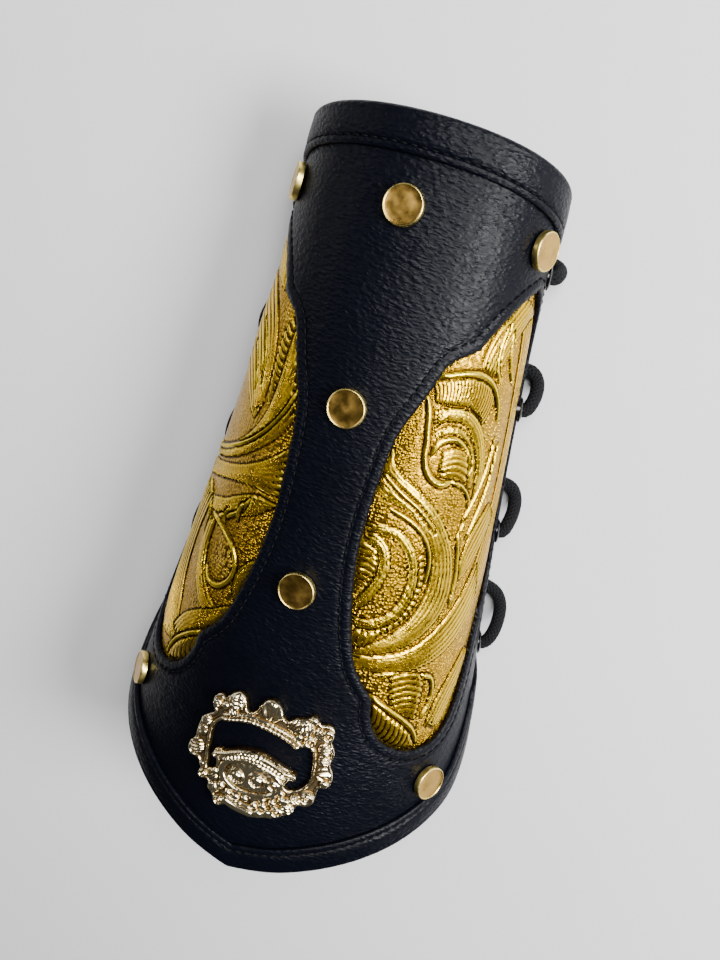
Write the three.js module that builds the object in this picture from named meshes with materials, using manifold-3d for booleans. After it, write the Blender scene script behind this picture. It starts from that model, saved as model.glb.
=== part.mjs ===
// Leather arm guard: an open half pipe of black leather that flares from the wrist to the elbow.
// Two scalloped windows show an embossed gold leather laid behind, folded leather bands cover the
// wrist and elbow rims, domed rivets and a cast ornament sit on top, and a cord laces the two long
// edges together. It stands on the cord where that passes under the edges.
// Millimetres, +Z up, +Y towards the wrist, +X to the wearer's right, origin on the floor under
// the middle. "along" runs from 0 at the wrist to 1 at the elbow point, "round" from 0 on the
// centre line to 1 (right) or -1 (left) at a lacing edge, and "lift" is a height above the leather.

import * as THREE from 'three';
import Module from 'manifold-3d';
import { mergeVertices } from 'three/addons/utils/BufferGeometryUtils.js';

const wasm = await Module();
wasm.setup();

// Form of the guard
const length = 247;
const wristHalfWidth = 39.5;
const elbowHalfWidth = 69;
const wristHeight = 41.6;
const elbowHeight = 73.1;
const wrapDegrees = 109;
const flarePower = 1.5;
const wristSweep = 20;
const elbowSweep = 61;

// Leather
const leatherThickness = 1.6;
const panelThickness = 1.2;
const bandThickness = 1.2;
const clearance = 0.3;
const wristBandWidth = 10.5;
const elbowBandWidth = 8.5;
const seamAllowance = 6;

// Rivets
const rivetDiameter = 12;
const rivetHeight = 2.2;
const rivetFlatShare = 0.74;
const rivetWallShare = 0.5;
const rivetPostRadius = 1.6;
const rivetTailRadius = 4.5;
const rivetTailThickness = 1;
const firstRivetFromWrist = 24;
const rivetSpacing = 58.7;
const wristCornerRivet = { fromWrist: 28.4, round: 0.646 };
const elbowCornerRivet = { fromElbow: 41.2, round: 0.561 };

// Eyelets
const eyeletsPerSide = 4;
const firstEyeletFromWristRim = 18;
const lastEyeletFromElbowRim = 18;
const eyeletInset = 5.6;
const eyeletFlangeRadius = 4.2;
const eyeletFlangeThickness = 0.8;
const eyeletWall = 0.5;

// Cord
const cordDiameter = 4.6;
const loopLean = 18;
const loopReach = 9.6;
const tuckReach = 6;
const crossingReach = 12;
const knotRadius = 5.4;
const knotStretch = 1.3;
const freeEndLength = 22;

// Ornament
const ornamentWidth = 50;
const ornamentHeight = 43.5;
const ornamentFromElbow = 46;
const ornamentOffset = 1.6;
const ornamentTurnDegrees = 3;
const ornamentPlate = 2;
const ornamentPostRadius = 1.4;
const ornamentPostSpacing = 36;
const ornamentPostRise = -1;
const ornamentTailRadius = 3;
const ornamentTailThickness = 1;

// Mesh fineness
const columns = 26;
const bodyRows = 4;
const rivetSides = 12;
const eyeletSides = 10;
const holeSides = 8;
const cordSides = 8;
const lobeSides = 6;
const lobeRings = 4;
const coronetSteps = 8;
const knotSides = 10;
const knotRings = 7;
const outlineSteps = 1;

// The elbow rim: how far it runs back towards the wrist, as a share of elbowSweep
const elbowRim = [
  { round: 0, back: 0 },
  { round: 0.12, back: 0.063 },
  { round: 0.23, back: 0.144 },
  { round: 0.35, back: 0.238 },
  { round: 0.47, back: 0.335 },
  { round: 0.58, back: 0.427 },
  { round: 0.68, back: 0.514 },
  { round: 0.74, back: 0.598 },
  { round: 0.81, back: 0.724 },
  { round: 0.86, back: 0.841 },
  { round: 0.92, back: 0.93 },
  { round: 1, back: 1 },
];

// The right window, as four arcs that meet in corners: shares of the length and of the wrap
const windowArcs = {
  wristLobe: [
    { along: 0.163, round: 0.73 },
    { along: 0.176, round: 0.624 },
    { along: 0.196, round: 0.537 },
    { along: 0.216, round: 0.477 },
    { along: 0.239, round: 0.424 },
  ],
  innerSide: [
    { along: 0.239, round: 0.424 },
    { along: 0.249, round: 0.358 },
    { along: 0.264, round: 0.307 },
    { along: 0.3, round: 0.258 },
    { along: 0.354, round: 0.19 },
    { along: 0.43, round: 0.163 },
    { along: 0.504, round: 0.156 },
    { along: 0.568, round: 0.174 },
    { along: 0.618, round: 0.199 },
    { along: 0.66, round: 0.234 },
    { along: 0.698, round: 0.302 },
  ],
  elbowLobe: [
    { along: 0.698, round: 0.302 },
    { along: 0.728, round: 0.312 },
    { along: 0.756, round: 0.349 },
    { along: 0.774, round: 0.418 },
    { along: 0.779, round: 0.5 },
    { along: 0.77, round: 0.578 },
    { along: 0.745, round: 0.646 },
    { along: 0.7, round: 0.702 },
  ],
  laceSide: [
    { along: 0.7, round: 0.702 },
    { along: 0.65, round: 0.742 },
    { along: 0.6, round: 0.79 },
    { along: 0.55, round: 0.848 },
    { along: 0.5, round: 0.88 },
    { along: 0.42, round: 0.89 },
    { along: 0.32, round: 0.888 },
    { along: 0.24, round: 0.872 },
    { along: 0.192, round: 0.82 },
    { along: 0.163, round: 0.73 },
  ],
};

// Along the lacing edge the gold leather reaches past the first and last eyelets, which hold it
const panelTab = { beforeFirst: 3.2, pastLast: 5, slant: 7.4, fromRound: 0.84, beyondEdge: 1.04 };

// The ornament's outer outline and its open window: shares of half its width and height
const ornamentOutline = [
  { x: -1, y: -0.36 }, { x: -0.98, y: -0.16 }, { x: -0.88, y: -0.02 }, { x: -0.93, y: 0.16 },
  { x: -0.86, y: 0.33 }, { x: -0.74, y: 0.42 }, { x: -0.78, y: 0.6 }, { x: -0.68, y: 0.76 },
  { x: -0.58, y: 0.78 }, { x: -0.52, y: 0.9 }, { x: -0.4, y: 0.92 }, { x: -0.29, y: 0.78 },
  { x: -0.24, y: 0.69 }, { x: -0.12, y: 0.86 }, { x: 0.02, y: 1 }, { x: 0.15, y: 0.94 },
  { x: 0.23, y: 0.72 }, { x: 0.34, y: 0.86 }, { x: 0.52, y: 0.95 }, { x: 0.64, y: 0.84 },
  { x: 0.8, y: 0.86 }, { x: 0.9, y: 0.68 }, { x: 0.86, y: 0.5 }, { x: 0.95, y: 0.34 },
  { x: 0.94, y: 0.16 }, { x: 1, y: 0 }, { x: 0.96, y: -0.16 }, { x: 0.84, y: -0.26 },
  { x: 0.86, y: -0.44 }, { x: 0.76, y: -0.56 }, { x: 0.64, y: -0.58 }, { x: 0.56, y: -0.78 },
  { x: 0.38, y: -0.9 }, { x: 0.22, y: -0.92 }, { x: 0, y: -1 }, { x: -0.24, y: -0.92 },
  { x: -0.36, y: -1 }, { x: -0.48, y: -0.94 }, { x: -0.56, y: -0.76 }, { x: -0.74, y: -0.68 },
  { x: -0.76, y: -0.48 }, { x: -0.9, y: -0.5 },
];
const ornamentOpening = [
  { x: -0.6, y: -0.5 }, { x: -0.68, y: -0.12 }, { x: -0.67, y: 0.26 }, { x: -0.5, y: 0.36 },
  { x: -0.3, y: 0.5 }, { x: -0.02, y: 0.54 }, { x: 0.28, y: 0.5 }, { x: 0.5, y: 0.37 },
  { x: 0.66, y: 0.36 }, { x: 0.71, y: 0 }, { x: 0.64, y: -0.28 }, { x: 0.46, y: -0.3 },
  { x: 0.52, y: -0.05 }, { x: 0.3, y: 0.03 }, { x: 0, y: 0.1 }, { x: -0.3, y: 0.03 },
  { x: -0.54, y: -0.12 }, { x: -0.5, y: -0.4 },
];
// Raised lobes: place, half sizes across and up, and rise above the plate's top, in millimetres
const ornamentLobes = [
  { x: -0.7, y: 0.58, across: 2.7, up: 2.7, rise: 1.5 },
  { x: -0.44, y: 0.74, across: 3.2, up: 2.9, rise: 1.9 },
  { x: 0.03, y: 0.79, across: 4, up: 3.6, rise: 1.6 },
  { x: 0.36, y: 0.7, across: 2.8, up: 2.4, rise: 1.5 },
  { x: 0.55, y: 0.74, across: 2.9, up: 3.1, rise: 1.9 },
  { x: 0.78, y: 0.66, across: 2.5, up: 2.6, rise: 1.7 },
  { x: 0.83, y: 0.28, across: 2.2, up: 3, rise: 1.5 },
  { x: 0.86, y: -0.05, across: 2.6, up: 3, rise: 1.6 },
  { x: 0.72, y: -0.42, across: 3, up: 2.6, rise: 1.8 },
  { x: 0.46, y: -0.68, across: 3.2, up: 2.9, rise: 1.8 },
  { x: 0.2, y: -0.78, across: 3, up: 2.4, rise: 1.7 },
  { x: -0.08, y: -0.85, across: 4.4, up: 2.4, rise: 1.2 },
  { x: -0.4, y: -0.84, across: 2.6, up: 2.4, rise: 1.5 },
  { x: -0.66, y: -0.56, across: 2.3, up: 2.3, rise: 1.5 },
  { x: -0.86, y: -0.3, across: 2.4, up: 2.8, rise: 1.7 },
  { x: -0.81, y: 0.14, across: 2.1, up: 2.6, rise: 1.5 },
];
const ornamentBoss = { x: -0.02, y: -0.32, across: 11.4, up: 6.8, rise: 2.6 };
const coronet = { left: { x: -0.58, y: -0.08 }, top: { x: 0, y: 0.14 }, right: { x: 0.55, y: -0.02 } };
const coronetRadius = 1.5;

// Each loop of cord from the wrist down: how far it bulges and leans, as shares of loopReach and
// loopLean. The first stays clear of the wrist band.
const loops = [
  { slack: 0.5, lean: 0.16 },
  { slack: 0.56, lean: 0.65 },
  { slack: 0.54, lean: 0.8 },
  { slack: 0.64, lean: 1 },
];
// A loop's way round the edge: outward as a share of its reach, back towards the wrist as a share
// of loopLean, and height as a share of the eyelet's
const loopPath = [
  { out: 0.93, back: 0.2, rise: 0.78 },
  { out: 1, back: 0.46, rise: 0.45 },
  { out: 0.84, back: 0.74, rise: 0.12 },
  { out: 0.3, back: 0.96, rise: 0 },
];
const tuckBack = 1.08;
// The lifts at which the cord passes through an eyelet, from inside to outside, in millimetres
const threadLifts = [-13, -6, -1, 2.2];
// Where each run leaves the knot, in knot radii
const knotExit = { inside: 0.3, outside: 4 };
// A free end from the knot: outward in knot radii, share of its length, and height in cord radii
const freeEndPath = [
  { out: 0.2, share: 0, height: knotRadius / (cordDiameter / 2) },
  { out: 0.8, share: 0.35, height: 1.3 },
  { out: 1.3, share: 0.7, height: 1 },
  { out: 1.5, share: 1, height: 1 },
];

const wrap = THREE.MathUtils.degToRad(wrapDegrees);
const cordRadius = cordDiameter / 2;
const edgeHeight = cordDiameter + clearance;
const innerSkin = -leatherThickness;
const panelOuter = innerSkin - clearance;
const panelInner = panelOuter - panelThickness;
const bandInner = innerSkin - clearance - bandThickness;
const holeClearance = clearance + 0.1;
// Cutters for the leather reach well past its curve on both sides
const cutterDepth = wristHalfWidth * 0.3;
const cutterRise = elbowHeight * 0.36;
const firstEyeletFromWrist = wristSweep + firstEyeletFromWristRim;
const lastEyeletFromWrist = length - elbowSweep - lastEyeletFromElbowRim;

// A smooth curve through a table's rows, read at one value
function follow(rows, from, to, value) {
  const last = rows.length - 1;
  const x = THREE.MathUtils.clamp(value, rows[0][from], rows[last][from]);
  let i = 0;
  while (i < last - 1 && x > rows[i + 1][from]) i += 1;
  const slope = (k) => {
    const low = rows[Math.max(0, k - 1)];
    const high = rows[Math.min(last, k + 1)];
    return (high[to] - low[to]) / (high[from] - low[from]);
  };
  const span = rows[i + 1][from] - rows[i][from];
  const s = (x - rows[i][from]) / span;
  const start = (2 * s ** 3 - 3 * s ** 2 + 1) * rows[i][to];
  const end = (3 * s ** 2 - 2 * s ** 3) * rows[i + 1][to];
  const startSlope = (s ** 3 - 2 * s ** 2 + s) * span * slope(i);
  const endSlope = (s ** 3 - s ** 2) * span * slope(i + 1);
  return start + end + startSlope + endSlope;
}

// The outer face of the leather: an ellipse arc whose width and height follow the flare
function facePoint(along, round) {
  const fromWrist = Math.max(0, along);
  const fromElbow = Math.max(0, 1 - along);
  const halfWidth = wristHalfWidth + (elbowHalfWidth - wristHalfWidth) * fromWrist ** flarePower;
  const height = wristHeight + (elbowHeight - wristHeight) * (1 - fromElbow ** flarePower);
  const halfDepth = (height - edgeHeight) / (1 - Math.cos(wrap));
  const angle = round * wrap;
  const z = height - halfDepth * (1 - Math.cos(angle));
  return new THREE.Vector3(halfWidth * Math.sin(angle), length * (0.5 - along), z);
}

function faceFrame(along, round) {
  const step = 0.002;
  const across = facePoint(along, round + step).sub(facePoint(along, round - step)).normalize();
  const down = facePoint(along + step, round).sub(facePoint(along - step, round)).normalize();
  const normal = new THREE.Vector3().crossVectors(down, across).normalize();
  return { across, normal, back: new THREE.Vector3().crossVectors(across, normal) };
}

function skin(along, round, lift = 0) {
  return facePoint(along, round).addScaledVector(faceFrame(along, round).normal, lift);
}

function wristRimAt(round) {
  return (wristSweep / length) * round ** 2;
}

function elbowRimAt(round) {
  return 1 - (elbowSweep / length) * follow(elbowRim, 'round', 'back', Math.abs(round));
}

// Where a rim runs slantwise, a band of even width reaches further along the guard
function bandReach(rimAt, round, width) {
  const step = 0.01;
  const low = THREE.MathUtils.clamp(round - step, -1, 1);
  const high = THREE.MathUtils.clamp(round + step, -1, 1);
  const a = facePoint(rimAt(round), low);
  const b = facePoint(rimAt(round), high);
  const slope = (rimAt(high) - rimAt(low)) * length / a.distanceTo(b);
  return width * Math.hypot(1, slope) / length;
}

// How much of the leather's width one unit of round takes up
function turnRate(along, low, high) {
  return facePoint(along, low).distanceTo(facePoint(along, high)) / (high - low);
}

const wristHemAt = (round) => wristRimAt(round) + bandReach(wristRimAt, round, wristBandWidth);
const elbowHemAt = (round) => elbowRimAt(round) - bandReach(elbowRimAt, round, elbowBandWidth);

function geometryOf(positions, triangles) {
  const geometry = new THREE.BufferGeometry();
  geometry.setAttribute('position', new THREE.Float32BufferAttribute(positions, 3));
  geometry.setIndex(triangles);
  return geometry;
}

function welded(geometry) {
  const bare = geometry.clone();
  bare.deleteAttribute('normal');
  bare.deleteAttribute('uv');
  return mergeVertices(bare, 1e-3);
}

// A closed geometry as a solid that can be cut and joined
function solid(geometry) {
  const merged = geometry.attributes.normal ? welded(geometry) : geometry;
  const index = merged.index.array;
  const kept = [];
  for (let i = 0; i < index.length; i += 3) {
    const [a, b, c] = [index[i], index[i + 1], index[i + 2]];
    if (a !== b && b !== c && a !== c) kept.push(a, b, c);
  }
  return new wasm.Manifold(new wasm.Mesh({
    numProp: 3,
    vertProperties: new Float32Array(merged.attributes.position.array),
    triVerts: new Uint32Array(kept),
  }));
}

function geometryFrom(body) {
  const mesh = body.getMesh();
  return geometryOf(Array.from(mesh.vertProperties), Array.from(mesh.triVerts));
}

function mirrored(body) {
  const mesh = body.getMesh();
  const positions = Array.from(mesh.vertProperties, (value, i) => (i % 3 === 0 ? -value : value));
  const triangles = [];
  for (let i = 0; i < mesh.triVerts.length; i += 3) {
    triangles.push(mesh.triVerts[i], mesh.triVerts[i + 2], mesh.triVerts[i + 1]);
  }
  return solid(geometryOf(positions, triangles));
}

const joined = (bodies) => bodies.reduce((whole, body) => whole.add(body));

// A sheet of leather between two lifts, with rows from the wrist rim to the elbow rim
function sheet(outerLift, innerLift) {
  const rowAlong = (row, round) => {
    if (row === 0) return wristRimAt(round);
    if (row === bodyRows + 2) return elbowRimAt(round);
    const share = (row - 1) / bodyRows;
    return THREE.MathUtils.lerp(wristHemAt(round), elbowHemAt(round), share);
  };
  const rows = bodyRows + 3;
  const positions = [];
  const triangles = [];
  const id = (column, row, side) => (column * rows + row) * 2 + side;
  const quad = (a, b, c, d) => triangles.push(a, b, c, a, c, d);
  for (let column = 0; column <= columns; column += 1) {
    const round = (2 * column) / columns - 1;
    for (let row = 0; row < rows; row += 1) {
      const along = rowAlong(row, round);
      positions.push(...skin(along, round, outerLift), ...skin(along, round, innerLift));
    }
  }
  for (let c = 0; c < columns; c += 1) {
    for (let r = 0; r < rows - 1; r += 1) {
      quad(id(c, r, 0), id(c, r + 1, 0), id(c + 1, r + 1, 0), id(c + 1, r, 0));
      quad(id(c, r, 1), id(c + 1, r, 1), id(c + 1, r + 1, 1), id(c, r + 1, 1));
    }
    quad(id(c, 0, 0), id(c + 1, 0, 0), id(c + 1, 0, 1), id(c, 0, 1));
    quad(id(c, rows - 1, 0), id(c, rows - 1, 1), id(c + 1, rows - 1, 1), id(c + 1, rows - 1, 0));
  }
  for (let r = 0; r < rows - 1; r += 1) {
    quad(id(0, r, 0), id(0, r, 1), id(0, r + 1, 1), id(0, r + 1, 0));
    quad(id(columns, r, 0), id(columns, r + 1, 0), id(columns, r + 1, 1), id(columns, r, 1));
  }
  return solid(geometryOf(positions, triangles));
}

// A folded band round a rim: both flanges and the fold past the rim, in one closed section.
// "past" is the distance beyond the rim, with the hem at minus the width.
function band(rimAt, width, outward) {
  const top = clearance + bandThickness;
  const fold = clearance + bandThickness;
  const bevel = bandThickness * 0.6;
  const section = [
    { past: -width, lift: clearance },
    { past: clearance, lift: clearance },
    { past: clearance, lift: panelOuter },
    { past: -width, lift: panelOuter },
    { past: -width, lift: bandInner },
    { past: fold - bevel, lift: bandInner },
    { past: fold, lift: bandInner + bevel },
    { past: fold, lift: top - bevel },
    { past: fold - bevel, lift: top },
    { past: -width, lift: top },
  ];
  const flatOf = ({ past, lift }) => new THREE.Vector2(outward * past, lift);
  if (THREE.ShapeUtils.isClockWise(section.map(flatOf))) section.reverse();
  const positions = [];
  const triangles = [];
  const count = section.length;
  for (let column = 0; column <= columns; column += 1) {
    const round = (2 * column) / columns - 1;
    const reach = bandReach(rimAt, round, 1);
    for (const { past, lift } of section) {
      positions.push(...skin(rimAt(round) + outward * past * reach, round, lift));
    }
  }
  for (let column = 0; column < columns; column += 1) {
    for (let i = 0; i < count; i += 1) {
      const a = column * count + i;
      const b = column * count + ((i + 1) % count);
      triangles.push(a, a + count, b + count, a, b + count, b);
    }
  }
  const end = columns * count;
  for (const [a, b, c] of facesOf(section.map(flatOf))) {
    triangles.push(a, b, c, end + a, end + c, end + b);
  }
  return solid(geometryOf(positions, triangles));
}

// An outline's triangles, all counterclockwise
function facesOf(points) {
  return THREE.ShapeUtils.triangulateShape(points, []).map(([a, b, c]) => {
    const left = points[b].clone().sub(points[a]).cross(points[c].clone().sub(points[a])) > 0;
    return left ? [a, b, c] : [a, c, b];
  });
}

// A closed outline on the face, raised and sunk to a solid that cuts through the leather
function cutter(outline) {
  const flat = outline.map(({ along, round }) => new THREE.Vector2(round * length, -along * length));
  const turnedRound = THREE.ShapeUtils.isClockWise(flat);
  const points = turnedRound ? outline.slice().reverse() : outline;
  const shape = turnedRound ? flat.reverse() : flat;
  const positions = [];
  const triangles = [];
  for (const { along, round } of points) {
    positions.push(...skin(along, round, -cutterDepth), ...skin(along, round, cutterRise));
  }
  for (const [a, b, c] of facesOf(shape)) {
    triangles.push(2 * a + 1, 2 * b + 1, 2 * c + 1, 2 * a, 2 * c, 2 * b);
  }
  for (let i = 0; i < points.length; i += 1) {
    const next = (i + 1) % points.length;
    triangles.push(2 * i, 2 * next, 2 * next + 1, 2 * i, 2 * next + 1, 2 * i + 1);
  }
  return solid(geometryOf(positions, triangles));
}

function smoothed(points, closed) {
  const flat = points.map(({ along, round }) => new THREE.Vector3(along, round, 0));
  const curve = new THREE.CatmullRomCurve3(flat, closed, 'catmullrom', 0.5);
  const steps = points.length * outlineSteps;
  return curve.getPoints(steps).slice(0, -1).map((p) => ({ along: p.x, round: p.y }));
}

function windowOutline() {
  return Object.values(windowArcs).flatMap((arc) => smoothed(arc, false));
}

// The gold leather reaches past the window by the seam allowance, and to the lacing edge
function panelOutline() {
  const arcs = [windowArcs.wristLobe, windowArcs.innerSide, windowArcs.elbowLobe];
  const inside = arcs.flatMap((arc) => arc.slice(1, -1));
  const middle = { along: 0.47, round: 0.5 };
  const halfTurn = turnRate(middle.along, 0, 0.1);
  const between = (from, to) => new THREE.Vector2(
    (to.round - from.round) * halfTurn,
    (to.along - from.along) * length,
  );
  const rows = inside.map(({ along, round }, i) => {
    const run = between(inside[Math.max(0, i - 1)], inside[Math.min(inside.length - 1, i + 1)]);
    const out = new THREE.Vector2(-run.y, run.x).normalize();
    if (out.dot(between(middle, { along, round })) < 0) out.negate();
    return {
      along: along + (out.y * seamAllowance) / length,
      round: round + (out.x * seamAllowance) / halfTurn,
    };
  });
  const tabStart = (firstEyeletFromWrist - panelTab.beforeFirst) / length;
  const tabEnd = (lastEyeletFromWrist + panelTab.pastLast) / length;
  return [
    ...rows,
    { along: tabEnd + panelTab.slant / length, round: panelTab.fromRound },
    { along: tabEnd, round: panelTab.beyondEdge },
    { along: tabStart, round: panelTab.beyondEdge },
    { along: tabStart, round: panelTab.fromRound },
  ];
}

const mirroredOutline = (outline) => outline.map(({ along, round }) => ({ along, round: -round }));

// A turned piece, modelled round +Y, set on the face with +Y along the leather's normal
function seated(geometry, along, round) {
  const { across, normal, back } = faceFrame(along, round);
  const matrix = new THREE.Matrix4().makeBasis(across, normal, back);
  matrix.setPosition(facePoint(along, round));
  return solid(welded(geometry).applyMatrix4(matrix));
}

function turned(profile, sides) {
  return new THREE.LatheGeometry(profile.map(([x, y]) => new THREE.Vector2(x, y)), sides);
}

function post(radius, low, high) {
  const geometry = new THREE.CylinderGeometry(radius, radius, high - low, holeSides);
  return geometry.translate(0, (low + high) / 2, 0);
}

// A polygon to sweep along a path
function ringShape(radius, sides) {
  return new THREE.Shape(Array.from({ length: sides }, (_, i) => {
    const angle = (2 * Math.PI * (i + 0.5)) / sides;
    return new THREE.Vector2(Math.cos(angle), Math.sin(angle)).multiplyScalar(radius);
  }));
}

// All leather that a fitting passes, with the clearance to it on both faces
const leatherStack = sheet(clearance, panelOuter);
const coreDepth = -14;
const core = sheet(clearance, coreDepth);

// A flat disc of this radius under the curved leather needs this much more room
const hollowRise = (radius) => radius ** 2 / (2 * wristHeight);

function rivetBody(along, round) {
  const radius = rivetDiameter / 2;
  const tailTop = panelOuter - hollowRise(rivetTailRadius);
  const tailEnd = tailTop - rivetTailThickness;
  const top = clearance + rivetHeight;
  return seated(turned([
    [0, tailEnd],
    [rivetTailRadius, tailEnd],
    [rivetTailRadius, tailTop],
    [rivetPostRadius, tailTop],
    [rivetPostRadius, clearance],
    [radius, clearance],
    [radius, clearance + rivetHeight * rivetWallShare],
    [radius * rivetFlatShare, top],
    [0, top],
  ], rivetSides), along, round);
}

function eyeletBody({ along, round }) {
  const hole = cordRadius + clearance;
  const barrel = hole + eyeletWall;
  const top = clearance + eyeletFlangeThickness;
  const lip = panelInner - clearance - hollowRise(eyeletFlangeRadius);
  const bottom = lip - eyeletFlangeThickness;
  return seated(turned([
    [hole, bottom],
    [eyeletFlangeRadius, bottom],
    [eyeletFlangeRadius, lip],
    [barrel, lip],
    [barrel, clearance],
    [eyeletFlangeRadius, clearance],
    [barrel, top],
    [hole, top],
    [hole, bottom],
  ], eyeletSides), along, round);
}

// Each place where something passes the leather, with the radius of its hole
const eyelets = Array.from({ length: eyeletsPerSide }, (_, i) => {
  const share = eyeletsPerSide > 1 ? i / (eyeletsPerSide - 1) : 0;
  const along = THREE.MathUtils.lerp(firstEyeletFromWrist, lastEyeletFromWrist, share) / length;
  return { along, round: 1 - eyeletInset / turnRate(along, 0.94, 1) };
});

const rivets = [
  { name: 'rivet_wrist_centre', along: firstRivetFromWrist / length, round: 0 },
  { name: 'rivet_middle', along: (firstRivetFromWrist + rivetSpacing) / length, round: 0 },
  { name: 'rivet_lower', along: (firstRivetFromWrist + 2 * rivetSpacing) / length, round: 0 },
];
for (const [side, sign] of [['right', 1], ['left', -1]]) {
  const wrist = wristCornerRivet;
  const elbow = elbowCornerRivet;
  rivets.push(
    { name: `rivet_wrist_${side}`, along: wrist.fromWrist / length, round: sign * wrist.round },
    { name: `rivet_elbow_${side}`, along: 1 - elbow.fromElbow / length, round: sign * elbow.round },
  );
}

// Ornament: flat millimetres from its centre, x to the right and y to the wrist, laid on the face
const ornamentAlong = 1 - ornamentFromElbow / length;
const ornamentHalfTurn = turnRate(ornamentAlong, 0, 0.1);
const ornamentTurn = THREE.MathUtils.degToRad(ornamentTurnDegrees);

function ornamentPlace(x, y, lift) {
  const across = x * Math.cos(ornamentTurn) - y * Math.sin(ornamentTurn) + ornamentOffset;
  const up = x * Math.sin(ornamentTurn) + y * Math.cos(ornamentTurn);
  return skin(ornamentAlong - up / length, across / ornamentHalfTurn, lift);
}

function laidOn(geometry) {
  const bare = welded(geometry);
  const position = bare.attributes.position;
  for (let i = 0; i < position.count; i += 1) {
    const p = ornamentPlace(position.getX(i), position.getY(i), position.getZ(i));
    position.setXYZ(i, p.x, p.y, p.z);
  }
  return solid(bare);
}

const onPlate = ({ x, y }) => new THREE.Vector2(x * ornamentWidth / 2, y * ornamentHeight / 2);

function dome({ x, y, across, up, rise }, sides, rings) {
  const centre = onPlate({ x, y });
  const geometry = new THREE.SphereGeometry(1, sides, rings);
  geometry.scale(across, up, ornamentPlate / 2 + rise);
  return laidOn(geometry.translate(centre.x, centre.y, clearance + ornamentPlate / 2));
}

function ornamentBody() {
  const shape = new THREE.Shape(ornamentOutline.map(onPlate));
  shape.holes.push(new THREE.Path(ornamentOpening.map(onPlate).reverse()));
  const sunk = ornamentPlate / 2;
  const plate = new THREE.ExtrudeGeometry(shape, { depth: ornamentPlate + sunk, bevelEnabled: false });
  plate.translate(0, 0, clearance - sunk);
  const [left, top, right] = [coronet.left, coronet.top, coronet.right].map(onPlate);
  const pull = top.clone().multiplyScalar(2).sub(left.clone().add(right).divideScalar(2));
  const onTop = ({ x, y }) => new THREE.Vector3(x, y, clearance + ornamentPlate);
  const arch = new THREE.QuadraticBezierCurve3(onTop(left), onTop(pull), onTop(right));
  const bead = new THREE.ExtrudeGeometry(ringShape(coronetRadius, lobeSides), {
    steps: coronetSteps, bevelEnabled: false, extrudePath: arch,
  });
  const relief = joined([
    laidOn(plate),
    laidOn(bead),
    dome(ornamentBoss, 2 * lobeSides, lobeSides),
    ...ornamentLobes.map((lobe) => dome(lobe, lobeSides, lobeRings)),
  ]).subtract(core);
  const posts = [-1, 1].map((side) => {
    const { along, round } = ornamentPost(side);
    const end = panelOuter - ornamentTailThickness;
    const disc = seated(post(ornamentTailRadius, end, innerSkin), along, round);
    const shank = post(ornamentPostRadius, end + ornamentTailThickness / 4, clearance + ornamentPlate / 2);
    return disc.subtract(leatherStack).add(seated(shank, along, round));
  });
  return joined([relief, ...posts]);
}

function ornamentPost(side) {
  const reach = (side * ornamentPostSpacing) / 2;
  return {
    along: ornamentAlong - (reach * Math.sin(ornamentTurn) + ornamentPostRise) / length,
    round: (reach * Math.cos(ornamentTurn) + ornamentOffset) / ornamentHalfTurn,
  };
}

// The cord laces the guard crosswise in two runs that start at a knot between the last eyelets,
// pass each eyelet from inside, bulge past the edge in a loop and go under it to the far side.
function cordRun(side) {
  const stations = [];
  const put = (at) => stations.push(at);
  const last = eyelets.length - 1;
  const knotY = length * (0.5 - eyelets[last].along);
  put(new THREE.Vector3(-side * knotRadius * knotExit.inside, knotY, knotRadius));
  put(new THREE.Vector3(side * knotRadius * knotExit.outside, knotY, knotRadius));
  let at = side;
  for (let i = last; i >= 0; i -= 1) {
    const { along, round } = eyelets[i];
    for (const lift of threadLifts) put(skin(along, at * round, lift));
    const loop = loops[i % loops.length];
    const reach = loopReach * loop.slack;
    const lean = loopLean * loop.lean;
    const edge = facePoint(along, 1);
    const high = skin(along, round).z;
    for (const { out, back, rise } of loopPath) {
      const z = THREE.MathUtils.lerp(cordRadius, high, rise);
      put(new THREE.Vector3(at * (edge.x + out * reach), edge.y + back * lean, z));
    }
    const under = edge.y + lean * tuckBack;
    put(new THREE.Vector3(at * (edge.x - tuckReach), under, cordRadius));
    if (i > 0) {
      const next = length * (0.5 - eyelets[i - 1].along);
      const passesOver = at * (i % 2 ? 1 : -1) > 0;
      const height = passesOver ? 3 * cordRadius + 2 * clearance : cordRadius;
      const y = (under + next) / 2;
      const slant = crossingReach / 4;
      put(new THREE.Vector3(at * crossingReach, y - slant, height));
      put(new THREE.Vector3(-at * crossingReach, y + slant, height));
    } else {
      put(new THREE.Vector3(-at, under, cordRadius));
    }
    at = -at;
  }
  return cordTube(stations);
}

// A cord never sinks below the surface that it lies on
class LaidCurve extends THREE.CatmullRomCurve3 {
  getPoint(t, target) {
    const point = super.getPoint(t, target);
    point.z = Math.max(point.z, cordRadius);
    return point;
  }
}

// A tube with one step to each point
function cordTube(stations) {
  const path = new LaidCurve(stations, false, 'centripetal');
  path.getUtoTmapping = (u) => u;
  return solid(new THREE.ExtrudeGeometry(ringShape(cordRadius, cordSides), {
    steps: stations.length - 1, bevelEnabled: false, extrudePath: path,
  }));
}

function laceBody() {
  const y = length * (0.5 - eyelets[eyelets.length - 1].along);
  const knot = new THREE.SphereGeometry(knotRadius, knotSides, knotRings);
  knot.scale(knotStretch, 1, 1).translate(0, y, knotRadius);
  const ends = [-1, 1].map((side) => cordTube(freeEndPath.map(({ out, share, height }) => (
    new THREE.Vector3(side * out * knotRadius, y - share * freeEndLength, height * cordRadius)
  ))));
  return joined([cordRun(1), cordRun(-1), solid(knot), ...ends]);
}

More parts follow.
